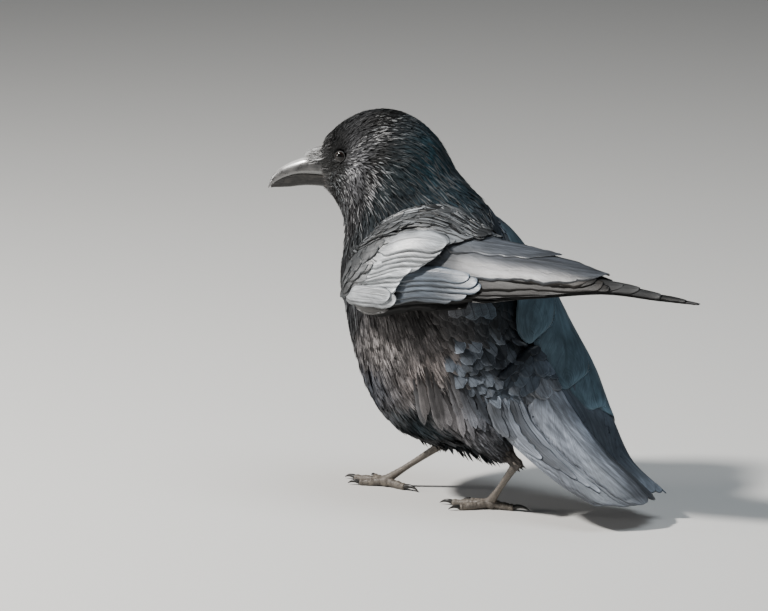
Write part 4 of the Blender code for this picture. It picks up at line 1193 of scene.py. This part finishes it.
def nasal_bristles(face, material):
    """Stiff feathers that lie forward from the face over the bill's root."""
    front = spun((-1.0, 0.0, -0.22))

    def place(points):
        """Along the straight bird, its height, and how far up the bill's root, 0 to 1."""
        x, _, z = turned(points, -HEAD_TURN).T
        return x, z, smooth_step((z - 262.0) / 12.0)

    def keep(points):
        x, z, top = place(points)
        return ((x < -86.0) & (x > -93.5 - 8.5 * top) & (z > 246.0)).astype(float)

    roots = scatter(face, lambda points: np.full(len(points), 0.64), keep)
    count, stations = len(roots), 7
    x, _, top = place(roots)
    room = np.maximum(x + 109.0, 0.0)  # to where the longest ones end
    length = np.minimum(4.5 + 3.0 * top + 9.0 * np.minimum(room / 22.0, 1) * top, 2.6 + 1.1 * room)
    length = length * varied_tone(count, 0.16)[:, 0]
    way = swept(heading_way(front), 0.12 * rng.normal(0, 1, count))
    line, up, run = grow(face, roots, way, length, stations)
    s, a = np.linspace(0, 1, stations)[:, None], np.array((-1.0, 0.0, 1.0))
    width = 0.18 * varied(count, 0.2)[:, None, None] * taper(s, 0.7, 0.3, 1.3) * a
    rise = (0.35 + 0.9 * np.abs(rng.normal(0, 1, count)).clip(0, 2))[:, None, None]
    height = rise * s**0.8 - (1 - s) ** 2 - 0.25 * np.abs(width)
    height = height + 0.6 * rng.normal(0, 1, count)[:, None, None] * width
    # painted highlight: bristles towards the top of the tuft are painted pale, up to a light grey at its top
    pale = rng.random(count) < (0.25 + 0.40 * top) * smooth_step((-88.0 - x) / 5.0)
    low = np.array((0.050, 0.040, 0.036))
    paint = np.where(pale[:, None], low + (0.32 - low) * top[:, None], 0.008) * varied_tone(count, 0.4)
    grid = sheet_grid(line, np.cross(up, run), up, width, height)
    coat_piece("nasal_bristle_feathers", grid, roots, paint, material)


# ---------------------------------------------------------------- materials


def new_group(name, inputs, outputs):
    """An empty node group with the given sockets."""
    group = bpy.data.node_groups.new(name, "ShaderNodeTree")
    for title, kind, value in inputs:
        socket = group.interface.new_socket(title, in_out="INPUT", socket_type=kind)
        if value is not None:
            socket.default_value = value
    for title, kind in outputs:
        group.interface.new_socket(title, in_out="OUTPUT", socket_type=kind)
    return group, group.nodes.new("NodeGroupInput"), group.nodes.new("NodeGroupOutput")


class Net:
    """Short ways to add nodes to a tree."""

    def __init__(self, tree):
        self.tree, self.nodes, self.links = tree, tree.nodes, tree.links

    def add(self, kind, **settings):
        made = self.nodes.new(kind)
        for key, value in settings.items():
            setattr(made, key, value)
        return made

    def set(self, socket, value):
        """Links a socket to another one, or gives it a constant; None leaves it as it is."""
        if isinstance(value, bpy.types.NodeSocket):
            self.links.new(value, socket)
        elif value is not None:
            socket.default_value = value

    def math(self, operation, a, b=None):
        made = self.add("ShaderNodeMath", operation=operation)
        for socket, value in zip(made.inputs, (a, b)):
            self.set(socket, value)
        return made.outputs[0]

    def ramp(self, value, low, high, to_low=0.0, to_high=1.0):
        made = self.add("ShaderNodeMapRange", interpolation_type="SMOOTHSTEP")
        for socket, given in zip(made.inputs, (value, low, high, to_low, to_high)):
            self.set(socket, given)
        return made.outputs[0]

    def mix(self, factor, a, b, blend="MIX"):
        made = self.add("ShaderNodeMix", data_type="RGBA", blend_type=blend)
        self.set(made.inputs["Factor"], factor)
        self.set(made.inputs[6], a)
        self.set(made.inputs[7], b)
        return made.outputs[2]

    def noise(self, vector, scale, detail=3.0, rough=0.55):
        made = self.add("ShaderNodeTexNoise")
        for title, value in (("Vector", vector), ("Scale", scale), ("Detail", detail), ("Roughness", rough)):
            self.set(made.inputs[title], value)
        return made.outputs["Fac"]

    def combine(self, x, y, z=0.0):
        made = self.add("ShaderNodeCombineXYZ")
        for socket, value in zip(made.inputs, (x, y, z)):
            self.set(socket, value)
        return made.outputs[0]

    def split(self, vector):
        made = self.add("ShaderNodeSeparateXYZ")
        self.set(made.inputs[0], vector)
        return made.outputs

    def bump(self, height, strength, distance=0.0003):
        made = self.add("ShaderNodeBump")
        for title, value in (("Height", height), ("Strength", strength), ("Distance", distance)):
            self.set(made.inputs[title], value)
        return made.outputs[0]

    def where(self):
        """The place on the piece, in metres."""
        return self.add("ShaderNodeTexCoord").outputs["Object"]

    def paint(self, title):
        """The colour painted on the piece's points."""
        return self.add("ShaderNodeVertexColor", layer_name=title).outputs["Color"]

    def darkened(self, colour, shade):
        return self.mix(1.0, colour, self.combine(shade, shade, shade), "MULTIPLY")

    def feed(self, shader, colour, rough, normal):
        for title, value in (("Base Color", colour), ("Roughness", rough), ("Normal", normal)):
            self.set(shader.inputs[title], value)


def barb_group():
    """Barbs slanting off a shaft, from a vane's own coordinates."""
    number = "NodeSocketFloat"
    group, given, out = new_group(
        "feather_barbs",
        [("Vane", "NodeSocketVector", None), ("Shaft", number, 0.42), ("Rows", number, 60.0),
         ("Slant", number, 14.0), ("Edge", number, 0.8), ("Root", number, 0.35), ("Place", number, 0.0)],
        [(title, number) for title in ("Barbs", "Fringe", "Shaft Line", "Depth", "Bands")])
    net = Net(group)
    x, y, _ = net.split(given.outputs["Vane"])
    off = net.math("ABSOLUTE", net.math("SUBTRACT", x, given.outputs["Shaft"]))
    rows = net.math("SUBTRACT", net.math("MULTIPLY", y, given.outputs["Rows"]),
                    net.math("MULTIPLY", off, given.outputs["Slant"]))
    barbs = net.noise(net.combine(net.math("MULTIPLY", off, 1.5), rows), 1.0, 4.0, 0.7)
    edge = net.math("MULTIPLY", net.math("ABSOLUTE", net.math("SUBTRACT", x, 0.5)), 2.0)
    wobble = net.math("MULTIPLY", net.math("SUBTRACT", barbs, 0.5), 0.25)
    sides = net.ramp(net.math("ADD", edge, wobble), given.outputs["Edge"], 1.0)
    end = net.ramp(net.math("ADD", y, net.math("MULTIPLY", wobble, 0.3)), 0.93, 1.0)
    group.links.new(barbs, out.inputs["Barbs"])
    group.links.new(net.math("MAXIMUM", sides, end), out.inputs["Fringe"])
    group.links.new(net.ramp(off, 0.012, 0.03, 1.0, 0.0), out.inputs["Shaft Line"])
    # painted shade: darker towards the root, where the feathers ahead overlap it
    group.links.new(net.ramp(y, 0.05, 0.65, given.outputs["Root"], 1.1), out.inputs["Depth"])
    across, lengthwise = net.math("MULTIPLY", x, 11.0), net.math("MULTIPLY", y, 2.2)
    bands = net.noise(net.combine(across, lengthwise, given.outputs["Place"]), 1.0, 3.0, 0.6)
    group.links.new(bands, out.inputs["Bands"])
    return group


def principled(name, colour, roughness):
    """A material with its net of nodes and its shader, whose constants are set here."""
    made = bpy.data.materials.new(name)
    made.use_nodes = True
    made.diffuse_color = (*colour, 1.0)
    shader = made.node_tree.nodes["Principled BSDF"]
    shader.inputs["Base Color"].default_value = (*colour, 1.0)
    shader.inputs["Roughness"].default_value = roughness
    return made, Net(made.node_tree), shader


# Feather finishes: brightness of the rim, barbs along the vane and their slant, roughness, relief, gloss,
# place of the shaft, where the rim starts, contrast of the barbs, brightness of the root, which is painted
# shade where the feathers overlap, depth of the bands, strength of the shaft's line
FEATHERS = {
    "small_feathers": (1.3, 26.0, 8.0, 0.40, 0.25, 0.05, 0.5, 0.8, 0.42, 0.35, 0.0, 0.6),
    "streak_feathers": (1.3, 20.0, 6.0, 0.32, 0.25, 0.35, 0.5, 0.8, 0.42, 0.35, 0.0, 0.6),
    "scaly_feathers": (2.6, 34.0, 12.0, 0.42, 0.35, 0.20, 0.5, 0.8, 0.42, 0.35, 0.0, 0.6),
    "soft_feathers": (1.7, 30.0, 8.0, 0.50, 0.25, 0.10, 0.5, 0.8, 0.42, 0.35, 0.0, 0.6),
    "glossy_vanes": (1.6, 90.0, 50.0, 0.36, 0.45, 0.80, 0.42, 0.92, 0.38, 0.75, 0.45, 0.45),
    "dark_vanes": (1.9, 110.0, 60.0, 0.40, 0.30, 0.20, 0.42, 0.95, 0.16, 0.6, 0.22, 0.25),
    "ruffled_vanes": (2.2, 34.0, 12.0, 0.38, 0.45, 0.40, 0.5, 0.8, 0.42, 0.35, 0.0, 0.6),
    "bristle_feathers": (1.2, 8.0, 3.0, 0.36, 0.20, 0.35, 0.5, 0.8, 0.42, 0.35, 0.0, 0.6),
}


def feather_material(name, barbs):
    """The painted plumage with barbs, a paler rim, a dark shaft and painted shade towards each feather's
    root, where the row ahead covers it.
    """
    finish = FEATHERS[name]
    rim, rows, slant, roughness, relief, gloss, shaft, edge, contrast, root, bands, shaft_line = finish
    made, net, shader = principled(name, (0.02, 0.02, 0.022), roughness)
    shader.inputs["Specular IOR Level"].default_value = gloss
    where = net.where()
    detail = net.add("ShaderNodeGroup", node_tree=barbs)
    given = {"Vane": net.add("ShaderNodeUVMap", uv_map="vane").outputs[0], "Shaft": shaft, "Rows": rows,
             "Slant": slant, "Edge": edge, "Root": root,
             "Place": net.math("MULTIPLY", net.split(where)[2], 60.0)}
    for title, value in given.items():
        net.set(detail.inputs[title], value)
    streak, line = detail.outputs["Barbs"], detail.outputs["Shaft Line"]
    shade = net.ramp(streak, 0.3, 0.7, 1 - contrast, 1 + contrast)
    shade = net.math("MULTIPLY", shade, net.ramp(net.noise(where, 55.0, 2.0), 0.3, 0.7, 0.8, 1.2))
    shade = net.math("MULTIPLY", shade, detail.outputs["Depth"])
    shade = net.math("MULTIPLY", shade, net.ramp(detail.outputs["Bands"], 0.32, 0.68, 1 - bands, 1 + bands))
    colour = net.darkened(net.paint("plumage"), shade)
    colour = net.mix(detail.outputs["Fringe"], colour, net.mix(1.0, colour, (rim, rim, rim, 1.0), "MULTIPLY"))
    colour = net.mix(net.math("MULTIPLY", line, shaft_line), colour, (0.006, 0.006, 0.006, 1.0))
    rough = net.math("ADD", net.math("MULTIPLY", streak, 0.22), roughness - 0.11)
    height = net.math("ADD", streak, net.math("MULTIPLY", line, 0.8))
    net.feed(shader, colour, rough, net.bump(height, relief))
    return made


def horn_material(name, gloss, ridge, ior):
    """Dark horn with fine streaks along it and pale wear, and a painted highlight: faces that look up are
    painted paler, as much as ridge says.
    """
    made, net, shader = principled(name, (0.035, 0.034, 0.033), 0.3)
    shader.inputs["Specular IOR Level"].default_value = gloss
    shader.inputs["IOR"].default_value = ior
    where = net.where()
    x, y, z = net.split(where)
    streaks = net.noise(net.combine(net.math("MULTIPLY", x, 0.12), y, z), 900.0, 4.0, 0.6)
    wear = net.noise(where, 160.0, 4.0, 0.6)
    colour = net.mix(net.ramp(streaks, 0.35, 0.7), (0.012, 0.012, 0.012, 1.0), (0.034, 0.032, 0.030, 1.0))
    colour = net.mix(net.ramp(wear, 0.52, 0.75, 0.0, 0.6), colour, (0.060, 0.055, 0.050, 1.0))
    # painted highlight: the upward-facing faces are mixed towards pale grey
    upward = net.split(net.add("ShaderNodeTexCoord").outputs["Normal"])[2]
    painted_top_highlight = net.math("MULTIPLY", net.ramp(upward, 0.35, 0.9), ridge)
    colour = net.mix(painted_top_highlight, colour, (0.50, 0.50, 0.49, 1.0))
    rough = net.ramp(wear, 0.3, 0.7, 0.25, 0.38)
    net.feed(shader, colour, rough, net.bump(net.math("ADD", streaks, wear), 0.25))
    return made


def scute_material():
    """Grey-brown scaled skin with dust on it."""
    made, net, shader = principled("scaled_skin", (0.045, 0.040, 0.036), 0.45)
    where = net.where()
    cells = net.add("ShaderNodeTexVoronoi", feature="DISTANCE_TO_EDGE")
    net.set(cells.inputs["Vector"], where)
    cells.inputs["Scale"].default_value = 850.0
    line = net.ramp(cells.outputs["Distance"], 0.0, 0.12)
    dust = net.noise(where, 260.0, 4.0, 0.65)
    colour = net.mix(line, (0.035, 0.030, 0.025, 1.0), (0.120, 0.102, 0.084, 1.0))
    colour = net.mix(net.ramp(dust, 0.5, 0.78, 0.0, 0.7), colour, (0.30, 0.26, 0.21, 1.0))
    net.feed(shader, colour, net.ramp(dust, 0.3, 0.8, 0.36, 0.62), net.bump(line, 0.5))
    return made


def eye_material():
    """A wet eyeball, painted dark brown round the pupil."""
    made, net, shader = principled("eye_wet", (0.004, 0.003, 0.002), 0.08)
    net.feed(shader, net.paint("iris"), None, None)
    shader.inputs["Specular IOR Level"].default_value = 0.25
    shader.inputs["Coat Weight"].default_value = 0.2
    shader.inputs["Coat Roughness"].default_value = 0.02
    return made


def lid_material():
    """The dark bare skin of the eyelids."""
    made, net, shader = principled("eyelid_skin", (0.06, 0.06, 0.06), 0.5)
    grain = net.noise(net.where(), 1400.0, 3.0)
    colour = net.mix(grain, (0.008, 0.008, 0.008, 1.0), (0.030, 0.029, 0.028, 1.0))
    net.feed(shader, colour, None, net.bump(grain, 0.4, 0.0002))
    return made


def skin_material():
    """The down under the feathers, painted as they are."""
    made, net, shader = principled("skin_down", (0.01, 0.01, 0.01), 0.8)
    fluff = net.noise(net.where(), 420.0, 4.0, 0.7)
    colour = net.darkened(net.paint("plumage"), net.ramp(fluff, 0.2, 0.8, 0.35, 0.85))
    net.feed(shader, colour, None, net.bump(fluff, 0.6, 0.0006))
    return made


# ---------------------------------------------------------------- the bird


def make_skin(hull, material):
    """The skin: the body's outline drawn in by the depth of the coat."""
    station, _, _ = anatomy(hull.points)
    depth = 1.0 + 3.2 * smooth_step((station - 1.5) / 7.0)
    # the skin takes the plumage table's colours, with the painted light and shade they hold
    points, colour = hull.points - hull.normals * depth[:, None], style(hull.points)[:, 5:8]
    mesh_piece("body_skin", points, hull.faces, material, "body_feather", None, unwrap(hull.points), colour,
               *BODY_NODES)


def clear_of_face(points):
    """1 where feathers may grow: not on the eyes, the bill or inside the mouth's root."""
    x, y, _ = turned(points, -HEAD_TURN).T
    fine = ~((x < -93.0) & (np.abs(y) < 8.0))
    for side in SIDES:
        away = points - (eye_centre(side) + eye_axis(side) * 3.0)
        fine = fine & (np.linalg.norm(away, axis=1) > 5.0)
    return fine.astype(float)


def dress(hull, feathers):
    """The coat: close feathers on head and back, soft ones below, and those that stand out from them."""
    roots = scatter(hull, coat_spacing, clear_of_face)
    station, height, _ = anatomy(roots)
    head = station < 7.3
    back = ~head & (height > 0.25 - 0.1 * (station > 11))
    scaly, soft = feathers["scaly_feathers"], feathers["soft_feathers"]
    body_feathers(hull, "head_feathers", roots[head], 5, 3, 0.55, 1.6, 1.4, feathers["small_feathers"])
    body_feathers(hull, "back_feathers", roots[back], 8, 5, 0.35, 2.1, 3.6, scaly, 0.3)
    loose_feathers(hull, "under_feathers", roots[~head & ~back], 6, 7, 3.6, soft)
    rump_scales(hull, scaly)
    head_streaks(hull, feathers["streak_feathers"])
    hanging_feathers(hull, soft)


def rump_scales(hull, material):
    """Short broad feathers with pale rims that overlap like scales over the rump, painted darker to its ridge
    as shade under the lifted wing.
    """

    def keep(points):
        station, height, _ = anatomy(points)
        edge = 0.26 + 0.10 * np.maximum(station - 11.2, 0.0)
        return smooth_step((station - 10.6) / 0.8) * (station < 13.4) * smooth_step((height - edge) / 0.14)

    roots = scatter(hull, lambda points: np.full(len(points), 6.6), keep)
    looks = style(roots)
    looks[:, 1:5] = (16.0, 6.0, 3.8, 0.06)
    # painted shade: the colour falls off towards the ridge, which lies in the lifted wing's shadow
    low = 0.45 + 0.70 * smooth_step((0.85 - anatomy(roots)[1]) / 0.4)
    looks[:, 5:8] = low[:, None] * (0.074, 0.086, 0.104) * varied_tone(len(roots), 0.25)
    body_feathers(hull, "rump_scale_coat", roots, 8, 7, 0.40, 2.6, 0.2, material, 0.25, looks)


def trousers(side, material):
    """The short feathers that end round the ankle."""
    knee, ankle = np.array(FEET[side]["knee"]), np.array(FEET[side]["ankle"])
    run = unit(ankle - knee)
    across = unit(np.cross(run, (0, 1.0, 0)))
    other = np.cross(run, across)
    count, stations = 260, 6
    angle, begin = rng.uniform(0, 2 * math.pi, count), rng.uniform(-26.0, -6.0, count)
    s, a = np.linspace(0, 1, stations), np.array((-1.0, 0.0, 1.0))
    reach = begin[:, None] + s * rng.uniform(11.0, 15.0, count)[:, None]
    radius = 4.4 + 5.5 * smooth_step(-reach / 30.0) - 1.2 * (1 - s)
    radius = radius + 0.35 * rng.normal(0, 1, count)[:, None] * s
    width = 1.5 * taper(s, 0.5, 0.4, 1.8)[:, None] * a
    turn = angle[:, None, None] + width / radius[..., None]
    out = np.cos(turn)[..., None] * across + np.sin(turn)[..., None] * other
    grid = ankle + run * reach[..., None, None] + out * (radius[..., None] - 0.12 * np.abs(width))[..., None]
    colour = varied_tone(count, 0.35) * (0.030, 0.027, 0.025)
    coat_piece(f"leg_feathers_{side}", grid, grid[:, 0, 1], colour, material)


def hanging_row(hull, name, roots, heading, length, half, rise, gain, material):
    """Long soft feathers that hang from the body with their tips free."""
    count, stations = len(roots), 12
    line, up, run = grow(hull, roots, heading_way(heading), length * varied(count, 0.12), stations)
    s, a = np.linspace(0, 1, stations)[:, None], np.linspace(-1, 1, 7)
    width = (half * varied(count, 0.12))[:, None, None] * taper(s, 0.3, 0.75, 2.0) * a
    # the outer edges are uneven, all but the tip
    width = width + 0.33 * rng.normal(0, 1, width.shape) * a * (np.abs(a) > 0.9) * (width != 0)
    level = 0.6 + rise * s - 0.18 * np.abs(width) + rng.uniform(0, 0.8, count)[:, None, None]
    colour = gain * style(line[:, 3])[:, 5:8] * varied_tone(count, 0.35)
    coat_piece(name, sheet_grid(line, np.cross(up, run), up, width, level), roots, colour, material)


def hanging_feathers(hull, material):
    """The feathers that hang from the flanks over the thighs, and the few under the lifted wing."""
    for side, sign in SIDES.items():
        share = np.linspace(0, 1, 32)
        roots = np.stack([4 + 62 * share, -51 + 11 * share, 116 - 16 * share], 1)
        roots += rng.normal(0, 3.0, (32, 3)) * (1, 0, 2.2)
        heading = unit(np.stack([0.12 + 0.5 * share, 0 * share, -1 + 0.1 * share], 1))
        mirror = (1, -sign, 1)
        hanging_row(hull, f"hanging_feathers_{side}", roots * mirror, heading * mirror, 40 - 8 * share,
                    3.0 - 0.6 * share, 1.6, 1.0, material)
    share = np.linspace(0, 1, 5)
    roots = np.stack([32 + 26 * share, -44 + 8 * share, 178 + 2 * share], 1)
    heading = unit(np.array((0.25, 0.0, -1.0)))
    hanging_row(hull, "armpit_feathers", roots, heading, 20.0, 6.0, 8.0, 6.0, material)


def thigh_tufts(hull, material):
    """The soft dark feathers that hang free under the body, in front of and round the top of each leg."""
    count, stations = 150, 8
    places = {"left": ((38.0, -20.0), (24.0, 15.0)), "right": ((-30.0, 12.0), (19.0, 22.0))}
    for side, (middle, reach) in places.items():
        spread = rng.uniform(-1, 1, (count, 2))
        under = np.concatenate([np.array(middle) + spread * reach, np.full((count, 1), 40.0)], 1)
        roots, _ = hull.nearest(under)
        roots[:, 2] += 6.0
        way = unit(np.array((0.42, 0.0, -1.0)) + 0.16 * rng.normal(0, 1, (count, 3)))
        length = rng.uniform(15.0, 24.0, count) * (1 - 0.45 * np.sum(spread**2, axis=1).clip(0, 1))
        s, a = np.linspace(0, 1, stations)[:, None], np.array((-1.0, 0.0, 1.0))
        line = roots[:, None] + length[:, None, None] * (way[:, None] * s + 0.22 * s**2 * (1.0, 0, 0.25))
        turn = rng.uniform(-1.2, 1.2, count)
        out = np.stack([-np.sin(turn), -np.cos(turn), 0 * turn], 1)
        across = unit(np.cross(way, out))
        width = rng.uniform(0.7, 1.6, count)[:, None, None] * taper(s, 0.5, 0.35, 1.6) * a
        curl = -0.15 * np.abs(width) + rng.normal(0, 0.3, count)[:, None, None] * width
        colour = varied_tone(count, 0.5, -1.5, 2.5) * (0.012, 0.014, 0.016)
        grid = sheet_grid(line, across[:, None], out[:, None], width, curl)
        coat_piece(f"thigh_tuft_{side}", grid, roots, colour, material)


def build_bird():
    """Every piece of the bird. The pieces draw from one row of random numbers, in this order."""
    barbs, skin = barb_group(), skin_material()
    feathers = {name: feather_material(name, barbs) for name in FEATHERS}
    glossy, dark, soft = feathers["glossy_vanes"], feathers["dark_vanes"], feathers["soft_feathers"]
    hull = body_surface(BODY_NODES, 1.9, 8)
    make_skin(hull, skin)
    dress(hull, feathers)
    lifted_wing(hull, glossy, dark, feathers["ruffled_vanes"])
    folded_wing(hull, dark)
    tail_feathers(hull, glossy, dark)
    # the upper bill gets a painted highlight on its top (0.8), the lower bill none
    horn = horn_material("bill_horn", 0.9, 0.8, 1.9)
    dull_horn = horn_material("lower_bill_horn", 0.25, 0.0, 1.5)
    mandible("bill_upper_horn", len(BILL) - 1.0, CULMEN, 1.0, 0.75, horn, "bill_upper")
    mandible("bill_lower_horn", LOWER_END, LOWER_EDGE, 0.94, 0.8, dull_horn, "bill_lower")
    bristle_bed(node_surface("nasal_bristles"), skin)
    face = body_surface(("head", "nasal_bristles", "bill_upper", "bill_lower"), 1.1, 2)
    nasal_bristles(face, feathers["bristle_feathers"])
    eye, lid, scutes = eye_material(), lid_material(), scute_material()
    for side in SIDES:
        make_eye(side, eye, lid)
        make_leg(side, scutes, dull_horn)
        trousers(side, soft)
    thigh_tufts(hull, soft)


def node_surface(node):
    """A CAD node's own surface."""
    work = bmesh.new()
    work.from_mesh(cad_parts[node].data)
    bmesh.ops.triangulate(work, faces=work.faces)
    points = np.array([tuple(v.co) for v in work.verts]) / MM - ORIGIN
    faces = np.array([[v.index for v in f.verts] for f in work.faces])
    work.free()
    return Surface(points, faces)


# ---------------------------------------------------------------- studio

VIEW_AZIMUTH, VIEW_ELEVATION, VIEW_DISTANCE = math.radians(28.0), math.radians(12.0), 3.5
FILM_WIDTH = 36.0
FRAME_WIDTH = 0.6144  # metres across the picture at the bird
AIM_RIGHT, AIM_UP = -0.0848, 0.162  # from the ball of the left foot to the picture's middle


def make_studio():
    """A pale floor, four soft lamps, a dim pale world and the camera."""
    floor_mesh = bpy.data.meshes.new("floor")
    floor_mesh.from_pydata([(-6, -6, 0), (6, -6, 0), (6, 6, 0), (-6, 6, 0)], [], [(0, 1, 2, 3)])
    floor = bpy.data.objects.new("studio_floor", floor_mesh)
    bpy.context.scene.collection.objects.link(floor)
    paper, _, _ = principled("floor_paper", (0.55, 0.545, 0.53), 0.8)
    floor_mesh.materials.append(paper)

    world = bpy.data.worlds.new("studio")
    bpy.context.scene.world = world
    world.use_nodes = True
    backdrop = world.node_tree.nodes["Background"]
    backdrop.inputs["Color"].default_value = (0.86, 0.92, 1.0, 1.0)
    backdrop.inputs["Strength"].default_value = 0.10

    def lamp(name, place, size, power, colour=(1.0, 1.0, 1.0)):
        light = bpy.data.lights.new(name, "AREA")
        light.shape, light.size, light.energy, light.color = "DISK", size, power, colour
        made = bpy.data.objects.new(name, light)
        made.location = place
        aim = Vector((0.0, 0.0, 0.16)) - Vector(place)
        made.rotation_euler = aim.to_track_quat("-Z", "Y").to_euler()
        bpy.context.scene.collection.objects.link(made)

    lamp("key_light", (-1.22, -1.13, 1.95), 0.28, 130.0, (1.0, 0.97, 0.93))
    lamp("side_light", (-2.0, -1.0, 0.7), 0.6, 18.0, (1.0, 0.98, 0.96))
    lamp("top_light", (0.6, -0.05, 2.2), 1.2, 26.0, (0.86, 0.94, 1.0))
    lamp("fill_light", (1.6, -1.6, 0.9), 1.4, 1.5, (0.9, 0.95, 1.0))

    az, el = VIEW_AZIMUTH, VIEW_ELEVATION
    right = Vector((math.cos(az), math.sin(az), 0.0))
    back = Vector((math.sin(az) * math.cos(el), -math.cos(az) * math.cos(el), math.sin(el)))
    up = back.cross(right)
    x, y, _ = FEET["left"]["ball"]
    foot = Vector((np.array((x, y, 0.5)) + ORIGIN) * MM)
    target = foot + right * AIM_RIGHT + up * AIM_UP
    lens = bpy.data.cameras.new("view")
    lens.sensor_width = FILM_WIDTH
    lens.lens = FILM_WIDTH * VIEW_DISTANCE / FRAME_WIDTH
    camera = bpy.data.objects.new("view", lens)
    camera.location = target + back * VIEW_DISTANCE
    camera.rotation_euler = (-back).to_track_quat("-Z", "Y").to_euler()
    bpy.context.scene.collection.objects.link(camera)
    bpy.context.scene.camera = camera


build_bird()
make_studio()
